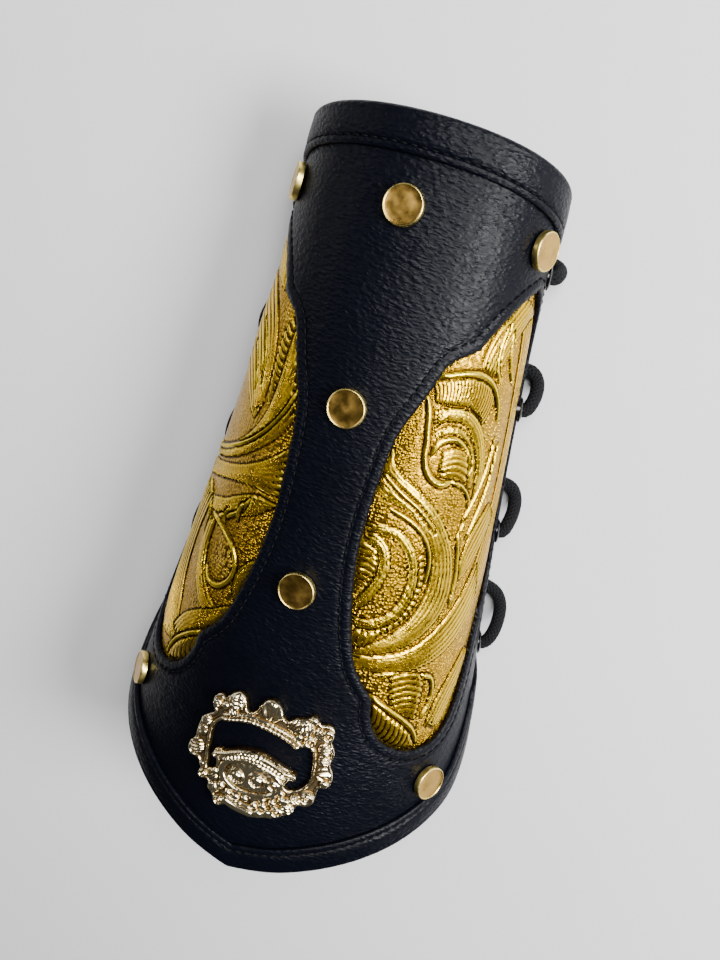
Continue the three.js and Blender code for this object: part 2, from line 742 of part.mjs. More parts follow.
const gold = { color: 0xc9a43c, metalness: 0.85, roughness: 0.35 };
const finishes = {
  leather: { color: 0x15161c, metalness: 0, roughness: 0.5 },
  goldLeather: gold,
  rivet: { color: 0xc2a05a, metalness: 1, roughness: 0.25 },
  ornament: { color: 0xe3d7a8, metalness: 1, roughness: 0.2 },
  eyelet: { color: 0x1b1c1f, metalness: 0.9, roughness: 0.35 },
  cord: { color: 0x0c0d10, metalness: 0, roughness: 0.85 },
};

const armGuard = new THREE.Group();

function addPiece(name, body, finish) {
  const mesh = new THREE.Mesh(geometryFrom(body), new THREE.MeshStandardMaterial(finishes[finish]));
  mesh.name = name;
  armGuard.add(mesh);
}

const holes = [
  ...rivets.map((place) => ({ ...place, radius: rivetPostRadius })),
  ...[-1, 1].map((side) => ({ ...ornamentPost(side), radius: ornamentPostRadius })),
];
const eyeletHole = cordRadius + clearance + eyeletWall;
for (const { along, round } of eyelets) {
  holes.push({ along, round, radius: eyeletHole }, { along, round: -round, radius: eyeletHole });
}
const drills = joined(holes.map(({ along, round, radius }) => (
  seated(post(radius + holeClearance, 2 * bandInner, -bandInner), along, round)
)));

const opening = windowOutline();
const windowCuts = cutter(opening).add(cutter(mirroredOutline(opening)));
addPiece('shell', sheet(0, innerSkin).subtract(windowCuts).subtract(drills), 'leather');

const goldLayer = sheet(panelOuter, panelInner).subtract(drills);
const patch = panelOutline();
addPiece('gold_panel_right', goldLayer.intersect(cutter(patch)), 'goldLeather');
addPiece('gold_panel_left', goldLayer.intersect(cutter(mirroredOutline(patch))), 'goldLeather');

addPiece('wrist_band', band(wristRimAt, wristBandWidth, -1), 'leather');
addPiece('elbow_band', band(elbowRimAt, elbowBandWidth, 1), 'leather');

for (const { name, along, round } of rivets) addPiece(name, rivetBody(along, round), 'rivet');
addPiece('ornament', ornamentBody(), 'ornament');
eyelets.forEach((place, i) => {
  const body = eyeletBody(place);
  addPiece(`eyelet_right_${i + 1}`, body, 'eyelet');
  addPiece(`eyelet_left_${i + 1}`, mirrored(body), 'eyelet');
});
addPiece('lace', laceBody(), 'cord');

export default armGuard;
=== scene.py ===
# Leather arm guard: black leather with two windows of embossed gilt leather, dressed round the frame
import math

import bpy
import numpy as np
from mathutils import Matrix, Vector
from mathutils.kdtree import KDTree


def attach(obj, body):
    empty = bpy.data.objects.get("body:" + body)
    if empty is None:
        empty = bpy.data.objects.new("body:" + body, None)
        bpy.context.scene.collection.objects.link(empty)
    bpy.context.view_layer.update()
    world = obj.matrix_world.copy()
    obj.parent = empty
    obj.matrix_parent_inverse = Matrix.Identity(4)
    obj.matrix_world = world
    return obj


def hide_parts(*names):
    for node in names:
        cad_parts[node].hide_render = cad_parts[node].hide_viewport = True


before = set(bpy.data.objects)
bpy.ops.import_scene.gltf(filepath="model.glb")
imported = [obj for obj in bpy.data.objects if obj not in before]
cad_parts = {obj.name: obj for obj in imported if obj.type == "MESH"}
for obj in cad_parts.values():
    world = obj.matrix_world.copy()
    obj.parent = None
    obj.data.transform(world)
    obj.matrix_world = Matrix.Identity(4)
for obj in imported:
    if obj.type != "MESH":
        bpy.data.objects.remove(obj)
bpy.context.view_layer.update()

MM = 0.001

# Form of the guard, in millimetres. "along" runs from 0 at the wrist to 1 at the elbow point, "turn"
# from 0 on the centre line to 1 or -1 at a lacing edge, and "lift" is a height above the leather.
LENGTH = 247
WRIST_HALF_WIDTH = 39.5
ELBOW_HALF_WIDTH = 69
WRIST_HEIGHT = 41.6
ELBOW_HEIGHT = 73.1
EDGE_HEIGHT = 4.9
WRAP = math.radians(109)
FLARE = 1.5
WRIST_SWEEP = 20
ELBOW_SWEEP = 61

# Leather
LEATHER = 1.6
PANEL = 1.2
BAND = 1.2
GAP = 0.3
WRIST_BAND_WIDTH = 10.5
ELBOW_BAND_WIDTH = 8.5
WINDOW_STITCH_INSET = 3.7
BAND_STITCH_INSET = 2.3
STITCH_PITCH = 3.1
STITCH_LENGTH = 2.2
THREAD_RADIUS = 0.32

# Fittings
RIVET_RADIUS = 6
RIVET_HEIGHT = 2.2
RIVET_TAIL_RADIUS = 4.5
CENTRE_RIVETS = (24, 82.7, 141.4)
WRIST_CORNER_RIVET = {"from_wrist": 28.4, "turn": 0.646}
ELBOW_CORNER_RIVET = {"from_elbow": 41.2, "turn": 0.561}
EYELETS_FROM_WRIST = (38, 81.333, 124.667, 168)
EYELET_INSET = 5.6
EYELET_FLANGE_RADIUS = 4.2
EYELET_HOLE_RADIUS = 3.4
EYELET_WALL = 0.5
SEAM_ALLOWANCE = 6
PANEL_TAB = {"start": 34.8, "end": 173, "slant": 7.4, "from_turn": 0.84, "beyond_edge": 1.04}
CORD_RADIUS = 2.3
LOOP_LEAN = 18
LOOP_REACH = 9.6
KNOT_RADIUS = 5.4
FREE_END = 22

# How far the elbow rim runs back towards the wrist, as a share of ELBOW_SWEEP, by turn
ELBOW_RIM = np.array([
    (0, 0), (0.12, 0.063), (0.23, 0.144), (0.35, 0.238), (0.47, 0.335), (0.58, 0.427),
    (0.68, 0.514), (0.74, 0.598), (0.81, 0.724), (0.86, 0.841), (0.92, 0.93), (1, 1),
])

# The right window's four arcs, as (along, turn)
WINDOW_ARCS = [
    [(0.163, 0.73), (0.176, 0.624), (0.196, 0.537), (0.216, 0.477), (0.239, 0.424)],
    [(0.239, 0.424), (0.249, 0.358), (0.264, 0.307), (0.3, 0.258), (0.354, 0.19), (0.43, 0.163),
     (0.504, 0.156), (0.568, 0.174), (0.618, 0.199), (0.66, 0.234), (0.698, 0.302)],
    [(0.698, 0.302), (0.728, 0.312), (0.756, 0.349), (0.774, 0.418), (0.779, 0.5), (0.77, 0.578),
     (0.745, 0.646), (0.7, 0.702)],
    [(0.7, 0.702), (0.65, 0.742), (0.6, 0.79), (0.55, 0.848), (0.5, 0.88), (0.42, 0.89),
     (0.32, 0.888), (0.24, 0.872), (0.192, 0.82), (0.163, 0.73)],
]


def follow(rows, value):
    """A smooth curve through a table's rows, read at an array of values."""
    x, y = rows[:, 0], rows[:, 1]
    value = np.clip(value, x[0], x[-1])
    i = np.clip(np.searchsorted(x, value, side="right") - 1, 0, len(x) - 2)
    slope = np.array([
        (y[min(k + 1, len(x) - 1)] - y[max(k - 1, 0)]) / (x[min(k + 1, len(x) - 1)] - x[max(k - 1, 0)])
        for k in range(len(x))
    ])
    span = x[i + 1] - x[i]
    s = (value - x[i]) / span
    start = (2 * s**3 - 3 * s**2 + 1) * y[i] + (s**3 - 2 * s**2 + s) * span * slope[i]
    end = (3 * s**2 - 2 * s**3) * y[i + 1] + (s**3 - s**2) * span * slope[i + 1]
    return start + end


def face(along, turn):
    """Points on the outer face of the leather, in millimetres."""
    along, turn = np.broadcast_arrays(np.asarray(along, float), np.asarray(turn, float))
    half_width = WRIST_HALF_WIDTH + (ELBOW_HALF_WIDTH - WRIST_HALF_WIDTH) * np.maximum(along, 0) ** FLARE
    height = WRIST_HEIGHT + (ELBOW_HEIGHT - WRIST_HEIGHT) * (1 - np.maximum(1 - along, 0) ** FLARE)
    depth = (height - EDGE_HEIGHT) / (1 - math.cos(WRAP))
    angle = turn * WRAP
    z = height - depth * (1 - np.cos(angle))
    return np.stack([half_width * np.sin(angle), LENGTH * (0.5 - along), z], -1)


def unit(vectors):
    return vectors / np.linalg.norm(vectors, axis=-1, keepdims=True)


def face_frame(along, turn):
    """Directions on the face: across to the right, out of the leather, and down to the elbow."""
    step = 0.002
    across = unit(face(along, turn + step) - face(along, turn - step))
    down = unit(face(along + step, turn) - face(along - step, turn))
    normal = unit(np.cross(down, across))
    return across, normal, down


def skin(along, turn, lift=0.0):
    along, turn = np.asarray(along, float), np.asarray(turn, float)
    normal = face_frame(along, turn)[1]
    return face(along, turn) + normal * np.asarray(lift, float)[..., None]


def wrist_rim(turn):
    return WRIST_SWEEP / LENGTH * np.asarray(turn, float) ** 2


def elbow_rim(turn):
    return 1 - ELBOW_SWEEP / LENGTH * follow(ELBOW_RIM, np.abs(turn))


def band_reach(rim, turn, width):
    """How far a band of even width reaches along the guard where its rim runs slantwise."""
    step = 0.01
    low, high = np.clip(turn - step, -1, 1), np.clip(turn + step, -1, 1)
    chord = np.linalg.norm(face(rim(turn), high) - face(rim(turn), low), axis=-1)
    slope = (rim(high) - rim(low)) * LENGTH / chord
    return width * np.hypot(1, slope) / LENGTH


def wrist_hem(turn):
    return wrist_rim(turn) + band_reach(wrist_rim, turn, WRIST_BAND_WIDTH)


def elbow_hem(turn):
    return elbow_rim(turn) - band_reach(elbow_rim, turn, ELBOW_BAND_WIDTH)


def spline(points, per_span, closed=False):
    """A Catmull-Rom curve through points, with this many steps in each span."""
    points = np.asarray(points, float)
    count = len(points)
    spans = count if closed else count - 1
    out = []
    for i in range(spans):
        near = [points[(i + k) % count] if closed else points[min(max(i + k, 0), count - 1)]
                for k in (-1, 0, 1, 2)]
        for s in np.arange(per_span) / per_span:
            a = 2 * near[1]
            b = (near[2] - near[0]) * s
            c = (2 * near[0] - 5 * near[1] + 4 * near[2] - near[3]) * s**2
            d = (3 * near[1] - near[0] - 3 * near[2] + near[3]) * s**3
            out.append((a + b + c + d) / 2)
    if not closed:
        out.append(points[-1])
    return np.array(out)


def evenly(points, step, closed=False):
    """The same path with points at an even spacing."""
    if closed:
        points = np.vstack([points, points[:1]])
    lengths = np.linalg.norm(np.diff(points, axis=0), axis=1)
    at = np.concatenate([[0], np.cumsum(lengths)])
    count = max(2, int(round(at[-1] / step)))
    stops = np.linspace(0, at[-1], count + 1)
    if closed:
        stops = stops[:-1]
    return np.stack([np.interp(stops, at, points[:, k]) for k in range(points.shape[1])], -1)


def window_outline(side):
    """The window's outline as (along, turn), its corners eased as in turned leather."""
    path = np.vstack([spline(arc, 24)[:-1] for arc in WINDOW_ARCS])
    path[:, 1] *= side
    flat = face(path[:, 0], path[:, 1])
    lengths = np.linalg.norm(np.diff(np.vstack([flat, flat[:1]]), axis=0), axis=1)
    at = np.concatenate([[0], np.cumsum(lengths)])
    stops = np.arange(0, at[-1], 0.25)
    ring = np.stack([np.interp(stops, at, np.append(path[:, k], path[0, k])) for k in (0, 1)], -1)
    for _ in range(12):
        ring = (np.roll(ring, 1, 0) + 2 * ring + np.roll(ring, -1, 0)) / 4
    return ring


def inside(outline, along, turn):
    """Which of these places lie inside a closed outline."""
    crossed = np.zeros(along.shape, bool)
    for (a0, t0), (a1, t1) in zip(outline, np.roll(outline, -1, 0)):
        if a0 == a1:
            continue
        between = (along > min(a0, a1)) & (along <= max(a0, a1))
        crossed ^= between & (turn < t0 + (along - a0) / (a1 - a0) * (t1 - t0))
    return crossed


def nearest(targets, points):
    """Distance from each point to the nearest of the targets, and that target's index."""
    tree = KDTree(len(targets))
    for i, point in enumerate(targets):
        tree.insert(point, i)
    tree.balance()
    found = [tree.find(point) for point in points]
    return np.array([f[2] for f in found]), np.array([f[1] for f in found], int)


def on_plane(places):
    return np.hstack([places, np.zeros((len(places), 1))])


def circle_outline(along, turn, radius):
    """A circle of this radius round a place on the face, as (along, turn)."""
    step = 0.01
    rate = np.linalg.norm(face(along, turn + step) - face(along, turn - step)) / (2 * step)
    angles = np.linspace(0, 2 * math.pi, 96, endpoint=False)
    return np.stack([along + radius * np.sin(angles) / LENGTH, turn + radius * np.cos(angles) / rate], -1)


def eyelet_places():
    places = []
    for from_wrist in EYELETS_FROM_WRIST:
        along = from_wrist / LENGTH
        rate = np.linalg.norm(face(along, 1.0) - face(along, 0.94)) / 0.06
        places.append((along, 1 - EYELET_INSET / rate))
    return places


# Making meshes
def clear_selection():
    if bpy.context.object and bpy.context.object.mode != "OBJECT":
        bpy.ops.object.mode_set(mode="OBJECT")
    bpy.ops.object.select_all(action="DESELECT")


def pick(piece):
    clear_selection()
    piece.select_set(True)
    bpy.context.view_layer.objects.active = piece


def mesh_piece(name, points, faces):
    """A piece from points in millimetres."""
    mesh = bpy.data.meshes.new(name)
    mesh.from_pydata((np.asarray(points, float) * MM).tolist(), [], [list(map(int, f)) for f in faces])
    mesh.update()
    piece = bpy.data.objects.new(name, mesh)
    bpy.context.scene.collection.objects.link(piece)
    mesh.polygons.foreach_set("use_smooth", [True] * len(mesh.polygons))
    return piece


def join_pieces(name, pieces):
    clear_selection()
    for piece in pieces:
        piece.select_set(True)
    bpy.context.view_layer.objects.active = pieces[0]
    bpy.ops.object.join()
    pieces[0].name = name
    pieces[0].data.name = name
    return pieces[0]


def store(piece, name, values):
    attribute = piece.data.attributes.new(name, "FLOAT", "POINT")
    attribute.data.foreach_set("value", np.asarray(values, np.float32))


def hollows(piece, values, rounds):
    """How far each point of a mesh lies below the mean of those around it."""
    ends = np.empty(2 * len(piece.data.edges), int)
    piece.data.edges.foreach_get("vertices", ends)
    first, second = ends[::2], ends[1::2]
    count = 1 + np.bincount(ends, minlength=len(values))
    mean = values
    for _ in range(rounds):
        mean = (mean + np.bincount(first, mean[second], len(values))
                + np.bincount(second, mean[first], len(values))) / count
    return mean - values


def turn_profile(name, profile, steps):
    """A turned piece: the profile, as (radius, height) in millimetres, spun round the Z axis."""
    mesh = bpy.data.meshes.new(name)
    points = [(r * MM, 0, z * MM) for r, z in profile]
    mesh.from_pydata(points, [(i, i + 1) for i in range(len(points) - 1)], [])
    piece = bpy.data.objects.new(name, mesh)
    bpy.context.scene.collection.objects.link(piece)
    pick(piece)
    bpy.ops.object.mode_set(mode="EDIT")
    bpy.ops.mesh.select_all(action="SELECT")
    bpy.ops.mesh.spin(steps=steps, angle=2 * math.pi, center=(0, 0, 0), axis=(0, 0, 1))
    bpy.ops.mesh.select_all(action="SELECT")
    bpy.ops.mesh.remove_doubles(threshold=1e-6)
    bpy.ops.mesh.normals_make_consistent(inside=False)
    bpy.ops.object.mode_set(mode="OBJECT")
    bpy.ops.object.shade_smooth_by_angle(angle=math.radians(35))
    return piece


def seat(piece, along, turn):
    """Sets a piece modelled on the floor on the face, with its Z along the leather's normal."""
    across, normal, _ = face_frame(along, turn)
    up = np.cross(normal, across)
    basis = Matrix((across, up, normal)).transposed().to_4x4()
    piece.data.transform(Matrix.Translation(Vector(skin(along, turn)) * MM) @ basis)


def cut_sheet(name, us, vs, place, cuts, keep, lift_of, bottom):
    """A wall over a grid of places (u, v), with edges that follow the outlines of its cuts and of what
    it keeps. place(u, v, lift) gives millimetres, and lift_of(u, v, depth) the outer side's lift, where
    depth is the distance outside the long cuts."""
    rows, columns = us.shape
    u, v = us.ravel().copy(), vs.ravel().copy()
    flat = place(u, v, 0.0 * u)
    grid = flat.reshape(rows, columns, 3)
    cell = np.median(np.linalg.norm(np.diff(grid, axis=0), axis=-1))
    gone = np.zeros(u.shape, bool)
    snapped = np.zeros(u.shape, bool)
    depth = np.full(u.shape, 1e3)
    outlines = [(outline, True) for outline in cuts] + [(outline, False) for outline in keep]
    for outline, hole in outlines:
        rim = place(outline[:, 0], outline[:, 1], 0.0 * outline[:, 0])
        low, high = rim.min(0) - 9, rim.max(0) + 9
        close = np.flatnonzero(((flat > low) & (flat < high)).all(1)) if hole else np.arange(len(u))
        distance, index = nearest(rim, flat[close])
        within = inside(outline, u[close], v[close])
        if hole and len(outline) > 200:
            depth[close] = np.minimum(depth[close], np.where(within, -distance, distance))
        near = distance < cell * 0.55
        gone[close[(within if hole else ~within) & ~near]] = True
        u[close[near]] = outline[index[near], 0]
        v[close[near]] = outline[index[near], 1]
        snapped[close[near]] = True
    ids = np.arange(rows * columns).reshape(rows, columns)
    quads = np.stack([ids[:-1, :-1], ids[1:, :-1], ids[1:, 1:], ids[:-1, 1:]], -1).reshape(-1, 4)
    quads = quads[~gone[quads].any(1)]
    middle_u, middle_v = u[quads].mean(1), v[quads].mean(1)
    drop = np.zeros(len(quads), bool)
    doubtful = np.flatnonzero(snapped[quads].all(1))
    for outline, hole in outlines:
        within = inside(outline, middle_u[doubtful], middle_v[doubtful])
        drop[doubtful] |= within if hole else ~within
    quads = quads[~drop]
    used = np.unique(quads)
    renumber = np.full(u.shape, -1)
    renumber[used] = np.arange(len(used))
    quads = renumber[quads]
    u, v, depth = u[used], v[used], np.maximum(depth[used], -40)
    outer = place(u, v, lift_of(u, v, depth))
    inner = place(u, v, np.full(u.shape, bottom))
    known = {(int(a), int(b)) for k in range(4) for a, b in quads[:, [k, (k + 1) % 4]]}
    walls = [(b, a, a + len(u), b + len(u)) for a, b in known if (b, a) not in known]
    piece = mesh_piece(name, np.vstack([outer, inner]),
                       quads.tolist() + (quads[:, ::-1] + len(u)).tolist() + walls)
    return piece, u, v, depth


# Materials
def linear(hex_colour):
    """An sRGB hex colour as linear red, green, blue and alpha."""
    values = [int(hex_colour[i:i + 2], 16) / 255 for i in (1, 3, 5)]
    return [v / 12.92 if v <= 0.04045 else ((v + 0.055) / 1.055) ** 2.4 for v in values] + [1]


def add_node(tree, kind, inputs=None, **settings):
    """Adds a node with its settings, and sets or links its inputs."""
    made = tree.nodes.new(kind)
    for key, value in settings.items():
        setattr(made, key, value)
    for key, value in (inputs or {}).items():
        if isinstance(value, bpy.types.NodeSocket):
            tree.links.new(value, made.inputs[key])
        else:
            made.inputs[key].default_value = value
    return made


def new_material(name, **settings):
    material = bpy.data.materials.new(name)
    material.use_nodes = True
    tree = material.node_tree
    shader = tree.nodes["Principled BSDF"]
    for key, value in settings.items():
        shader.inputs[key.replace("_", " ")].default_value = value
    return material, tree, shader


def per_mm(size):
    """The scale that gives a pattern cells of this size in millimetres on Object coordinates."""
    return 1 / (size * MM)


def black_leather():
    """Drum-dyed cowhide, lightly glazed: close wrinkles that run across, a soft sheen on their tops."""
    material, tree, shader = new_material("black_cowhide", IOR=1.45, Specular_IOR_Level=0.14)
    place = add_node(tree, "ShaderNodeTexCoord").outputs["Object"]
    drift = add_node(tree, "ShaderNodeTexNoise", {"Vector": place, "Scale": per_mm(4), "Detail": 2})
    bent = add_node(tree, "ShaderNodeMix", {0: 0.0018, 4: place, 5: drift.outputs["Color"]},
                    data_type="VECTOR").outputs[1]
    stretched = add_node(tree, "ShaderNodeMapping", {"Vector": bent, "Scale": (0.5, 1.15, 0.8)}).outputs[0]
    pebble = add_node(tree, "ShaderNodeTexVoronoi", {"Vector": stretched, "Scale": per_mm(0.95)},
                      feature="SMOOTH_F1")
    wrinkle = add_node(tree, "ShaderNodeTexNoise", {"Vector": stretched, "Scale": per_mm(1.3), "Detail": 3,
                                                    "Distortion": 0.8})
    patchy = add_node(tree, "ShaderNodeTexNoise", {"Vector": place, "Scale": per_mm(30), "Detail": 2})
    strength = add_node(tree, "ShaderNodeMapRange", {"Value": patchy.outputs["Fac"], 1: 0.3, 2: 0.7, 3: 0.45,
                                                     4: 1.0})
    dome = add_node(tree, "ShaderNodeMapRange", {"Value": pebble.outputs["Distance"], 1: 0.0, 2: 0.7, 3: 1.0,
                                                 4: 0.0})
    grain = add_node(tree, "ShaderNodeMath", {0: wrinkle.outputs["Fac"], 1: 1.3, 2: dome.outputs[0]},
                     operation="MULTIPLY_ADD")
    height = add_node(tree, "ShaderNodeMath", {0: grain.outputs[0], 1: strength.outputs[0]},
                      operation="MULTIPLY")
    bump = add_node(tree, "ShaderNodeBump", {"Height": height.outputs[0], "Distance": 0.24 * MM})
    tree.links.new(bump.outputs[0], shader.inputs["Normal"])
    colour = add_node(tree, "ShaderNodeMix", {0: patchy.outputs["Fac"], 6: linear("#020308"),
                                              7: linear("#050710")}, data_type="RGBA")
    tree.links.new(colour.outputs[2], shader.inputs["Base Color"])
    rough = add_node(tree, "ShaderNodeMapRange", {"Value": dome.outputs[0], 3: 0.46, 4: 0.3})
    tree.links.new(rough.outputs[0], shader.inputs["Roughness"])
    return material


def gilt_leather():
    """Embossed leather under gold foil: crisp ridges, fine lines cut along them and a matted ground of small
    grains.
    Painted shade makes the grooves, fine lines and hollows brown, and a painted highlight makes the tops
    bright yellow."""
    material, tree, shader = new_material("gilt_embossed_leather", Metallic=1.0)
    place = add_node(tree, "ShaderNodeTexCoord").outputs["Object"]
    relief, ground, beads, lines = [
        add_node(tree, "ShaderNodeAttribute", attribute_name=name).outputs["Fac"]
        for name in ("relief", "ground", "beads", "lines")]
    matting = None
    for mask, size in ((ground, 0.85), (beads, 1.2)):
        grains = add_node(tree, "ShaderNodeTexVoronoi", {"Vector": place, "Scale": per_mm(size),
                                                         "Randomness": 0.7})
        dots = add_node(tree, "ShaderNodeMapRange", {"Value": grains.outputs["Distance"], 1: 0.15, 2: 0.62,
                                                     3: size, 4: 0.0}, interpolation_type="SMOOTHSTEP")
        raised = add_node(tree, "ShaderNodeMath", {0: dots.outputs[0], 1: mask, 2: 0.0},
                          operation="MULTIPLY_ADD")
        if matting:
            tree.links.new(matting.outputs[0], raised.inputs[2])
        matting = raised
    turns = add_node(tree, "ShaderNodeMath", {0: lines, 1: 2 * math.pi}, operation="MULTIPLY")
    wave = add_node(tree, "ShaderNodeMath", {0: turns.outputs[0]}, operation="COSINE")
    groove = add_node(tree, "ShaderNodeMapRange", {"Value": wave.outputs[0], 1: 0.1, 2: 1.0, 3: 0.0, 4: 1.0},
                      interpolation_type="SMOOTHSTEP")
    lined = add_node(tree, "ShaderNodeMath", {0: lines, 1: 0.01}, operation="GREATER_THAN")
    cut = add_node(tree, "ShaderNodeMath", {0: groove.outputs[0], 1: lined.outputs[0]}, operation="MULTIPLY")
    fine = add_node(tree, "ShaderNodeMath", {0: cut.outputs[0], 1: -1.8, 2: matting.outputs[0]},
                    operation="MULTIPLY_ADD")
    crinkle = add_node(tree, "ShaderNodeTexNoise", {"Vector": place, "Scale": per_mm(1.1), "Detail": 4})
    height = add_node(tree, "ShaderNodeMath", {0: crinkle.outputs["Fac"], 1: 0.45, 2: fine.outputs[0]},
                      operation="MULTIPLY_ADD")
    bump = add_node(tree, "ShaderNodeBump", {"Height": height.outputs[0], "Distance": 0.3 * MM})
    tree.links.new(bump.outputs[0], shader.inputs["Normal"])
    # Painted shade and painted highlight: the colour follows this height, brown in the grooves, fine lines
    # and hollows, bright yellow on the tops.
    height_with_hollow_shade = add_node(tree, "ShaderNodeMath", {0: fine.outputs[0], 1: 0.28, 2: relief},
                    operation="MULTIPLY_ADD")
    level = add_node(tree, "ShaderNodeMapRange", {"Value": height_with_hollow_shade.outputs[0], 1: -0.28, 2: 0.15})
    low = add_node(tree, "ShaderNodeMix", {0: level.outputs[0], 6: linear("#553c07"),
                                           7: linear("#cb9c10")}, data_type="RGBA")
    top = add_node(tree, "ShaderNodeMapRange", {"Value": height_with_hollow_shade.outputs[0], 1: 0.15, 2: 0.8})
    colour = add_node(tree, "ShaderNodeMix", {0: top.outputs[0], 6: low.outputs[2],
                                              7: linear("#ffdc2c")}, data_type="RGBA")
    tree.links.new(colour.outputs[2], shader.inputs["Base Color"])
    worn = add_node(tree, "ShaderNodeTexNoise", {"Vector": place, "Scale": per_mm(5), "Detail": 3})
    rough = add_node(tree, "ShaderNodeMapRange", {"Value": worn.outputs["Fac"], 1: 0.3, 2: 0.7, 3: 0.2,
                                                  4: 0.33})
    tree.links.new(rough.outputs[0], shader.inputs["Roughness"])
    return material


def flesh_side():
    """The undyed back of split leather: matt, fibrous and dark."""
    material, tree, shader = new_material("leather_flesh_side", Roughness=0.85)
    place = add_node(tree, "ShaderNodeTexCoord").outputs["Object"]
    nap = add_node(tree, "ShaderNodeTexNoise", {"Vector": place, "Scale": per_mm(0.9), "Detail": 6})
    colour = add_node(tree, "ShaderNodeMix", {0: nap.outputs["Fac"], 6: linear("#16140f"),
                                              7: linear("#2a2620")}, data_type="RGBA")
    tree.links.new(colour.outputs[2], shader.inputs["Base Color"])
    bump = add_node(tree, "ShaderNodeBump", {"Height": nap.outputs["Fac"], "Distance": 0.2 * MM})
    tree.links.new(bump.outputs[0], shader.inputs["Normal"])
    return material


def rivet_brass():
    """Rolled brass cap with an old lacquer: brown and blotchy in the middle, and a painted highlight on a
    thin bright ring at the rim.
    """
    material, tree, shader = new_material("lacquered_brass", Metallic=1.0, Roughness=0.28)
    place = add_node(tree, "ShaderNodeTexCoord").outputs["Object"]
    blot = add_node(tree, "ShaderNodeTexNoise", {"Vector": place, "Scale": per_mm(3.2), "Detail": 3})
    rim = add_node(tree, "ShaderNodeAttribute", attribute_name="rim").outputs["Fac"]
    middle = add_node(tree, "ShaderNodeMix", {0: blot.outputs["Fac"], 6: linear("#96742e"),
                                              7: linear("#d6ac5a")}, data_type="RGBA")
    # Painted highlight: the rim ring is coloured bright.
    colour = add_node(tree, "ShaderNodeMix", {0: rim, 6: middle.outputs[2], 7: linear("#f6dc80")},
                      data_type="RGBA")
    tree.links.new(colour.outputs[2], shader.inputs["Base Color"])
    rough = add_node(tree, "ShaderNodeMapRange", {"Value": blot.outputs["Fac"], 1: 0.3, 2: 0.7, 3: 0.22,
                                                  4: 0.4})
    tree.links.new(rough.outputs[0], shader.inputs["Roughness"])
    return material


def pale_gold_plate():
    """Die-cast zinc with pale gold plate: mirror bright on the tops, brown in the hollows, partly patina and
    partly painted shade.
    """
    material, tree, shader = new_material("pale_gold_plate", Metallic=1.0, Roughness=0.16)
    place = add_node(tree, "ShaderNodeTexCoord").outputs["Object"]
    height_with_hollow_shade = add_node(tree, "ShaderNodeAttribute", attribute_name="height_with_hollow_shade").outputs["Fac"]
    stain = add_node(tree, "ShaderNodeTexNoise", {"Vector": place, "Scale": per_mm(2.5), "Detail": 3})
    # Brown in the hollows: partly patina, partly painted shade.
    level = add_node(tree, "ShaderNodeMath", {0: stain.outputs["Fac"], 1: 0.5, 2: height_with_hollow_shade},
                     operation="MULTIPLY_ADD")
    clean_and_lit = add_node(tree, "ShaderNodeMapRange", {"Value": level.outputs[0], 1: 0.4, 2: 0.85})
    colour = add_node(tree, "ShaderNodeMix", {0: clean_and_lit.outputs[0], 6: linear("#6a4f26"),
                                              7: linear("#ffeec2")}, data_type="RGBA")
    tree.links.new(colour.outputs[2], shader.inputs["Base Color"])
    rough = add_node(tree, "ShaderNodeMapRange", {"Value": clean_and_lit.outputs[0], 3: 0.42, 4: 0.14})
    tree.links.new(rough.outputs[0], shader.inputs["Roughness"])
    return material


def black_enamel():
    """Stove-enamelled steel eyelet: smooth, dark, with a faint orange peel."""
    material, tree, shader = new_material("black_enamel", Base_Color=linear("#0d0d10"), Roughness=0.25,
                                          Coat_Weight=0.4)
    place = add_node(tree, "ShaderNodeTexCoord").outputs["Object"]
    peel = add_node(tree, "ShaderNodeTexNoise", {"Vector": place, "Scale": per_mm(0.8)})
    bump = add_node(tree, "ShaderNodeBump", {"Height": peel.outputs["Fac"], "Distance": 0.03 * MM})
    tree.links.new(bump.outputs[0], shader.inputs["Normal"])
    return material


def braided_cord():
    """Braided cotton cord: a herringbone of crossing strands, matt and black."""
    material, tree, shader = new_material("black_cotton_braid", Roughness=0.8, Specular_IOR_Level=0.2)
    strands = add_node(tree, "ShaderNodeUVMap", uv_map="braid").outputs[0]
    split = add_node(tree, "ShaderNodeSeparateXYZ", {"Vector": strands})
    waves = []
    strands_round, strand_pitch = 8, 1.5
    for hand in (1, -1):
        lean = add_node(tree, "ShaderNodeMath", {0: split.outputs[0], 1: hand * strands_round * 2 * math.pi},
                        operation="MULTIPLY")
        phase = add_node(tree, "ShaderNodeMath", {0: split.outputs[1], 1: 2 * math.pi / strand_pitch,
                                                  2: lean.outputs[0]}, operation="MULTIPLY_ADD")
        waves.append(add_node(tree, "ShaderNodeMath", {0: phase.outputs[0]}, operation="SINE").outputs[0])
    height = add_node(tree, "ShaderNodeMath", {0: waves[0], 1: waves[1]}, operation="MAXIMUM")
    bump = add_node(tree, "ShaderNodeBump", {"Height": height.outputs[0], "Distance": 0.25 * MM})
    tree.links.new(bump.outputs[0], shader.inputs["Normal"])
    # Painted shade: darker in the grooves between the strands, lighter on their tops.
    shade = add_node(tree, "ShaderNodeMapRange", {"Value": height.outputs[0], 1: -1.0, 2: 1.0})
    colour = add_node(tree, "ShaderNodeMix", {0: shade.outputs[0], 6: linear("#040406"),
                                              7: linear("#0c0d10")}, data_type="RGBA")
    tree.links.new(colour.outputs[2], shader.inputs["Base Color"])
    return material


def waxed_thread():
    """Waxed polyester thread: tightly twisted, black with a slight shine."""
    material, tree, shader = new_material("waxed_thread", Roughness=0.6, Specular_IOR_Level=0.12,
                                          Base_Color=linear("#040508"))
    place = add_node(tree, "ShaderNodeTexCoord").outputs["Object"]
    twist = add_node(tree, "ShaderNodeTexNoise", {"Vector": place, "Scale": per_mm(0.3)})
    bump = add_node(tree, "ShaderNodeBump", {"Height": twist.outputs["Fac"], "Distance": 0.08 * MM})
    tree.links.new(bump.outputs[0], shader.inputs["Normal"])
    return material


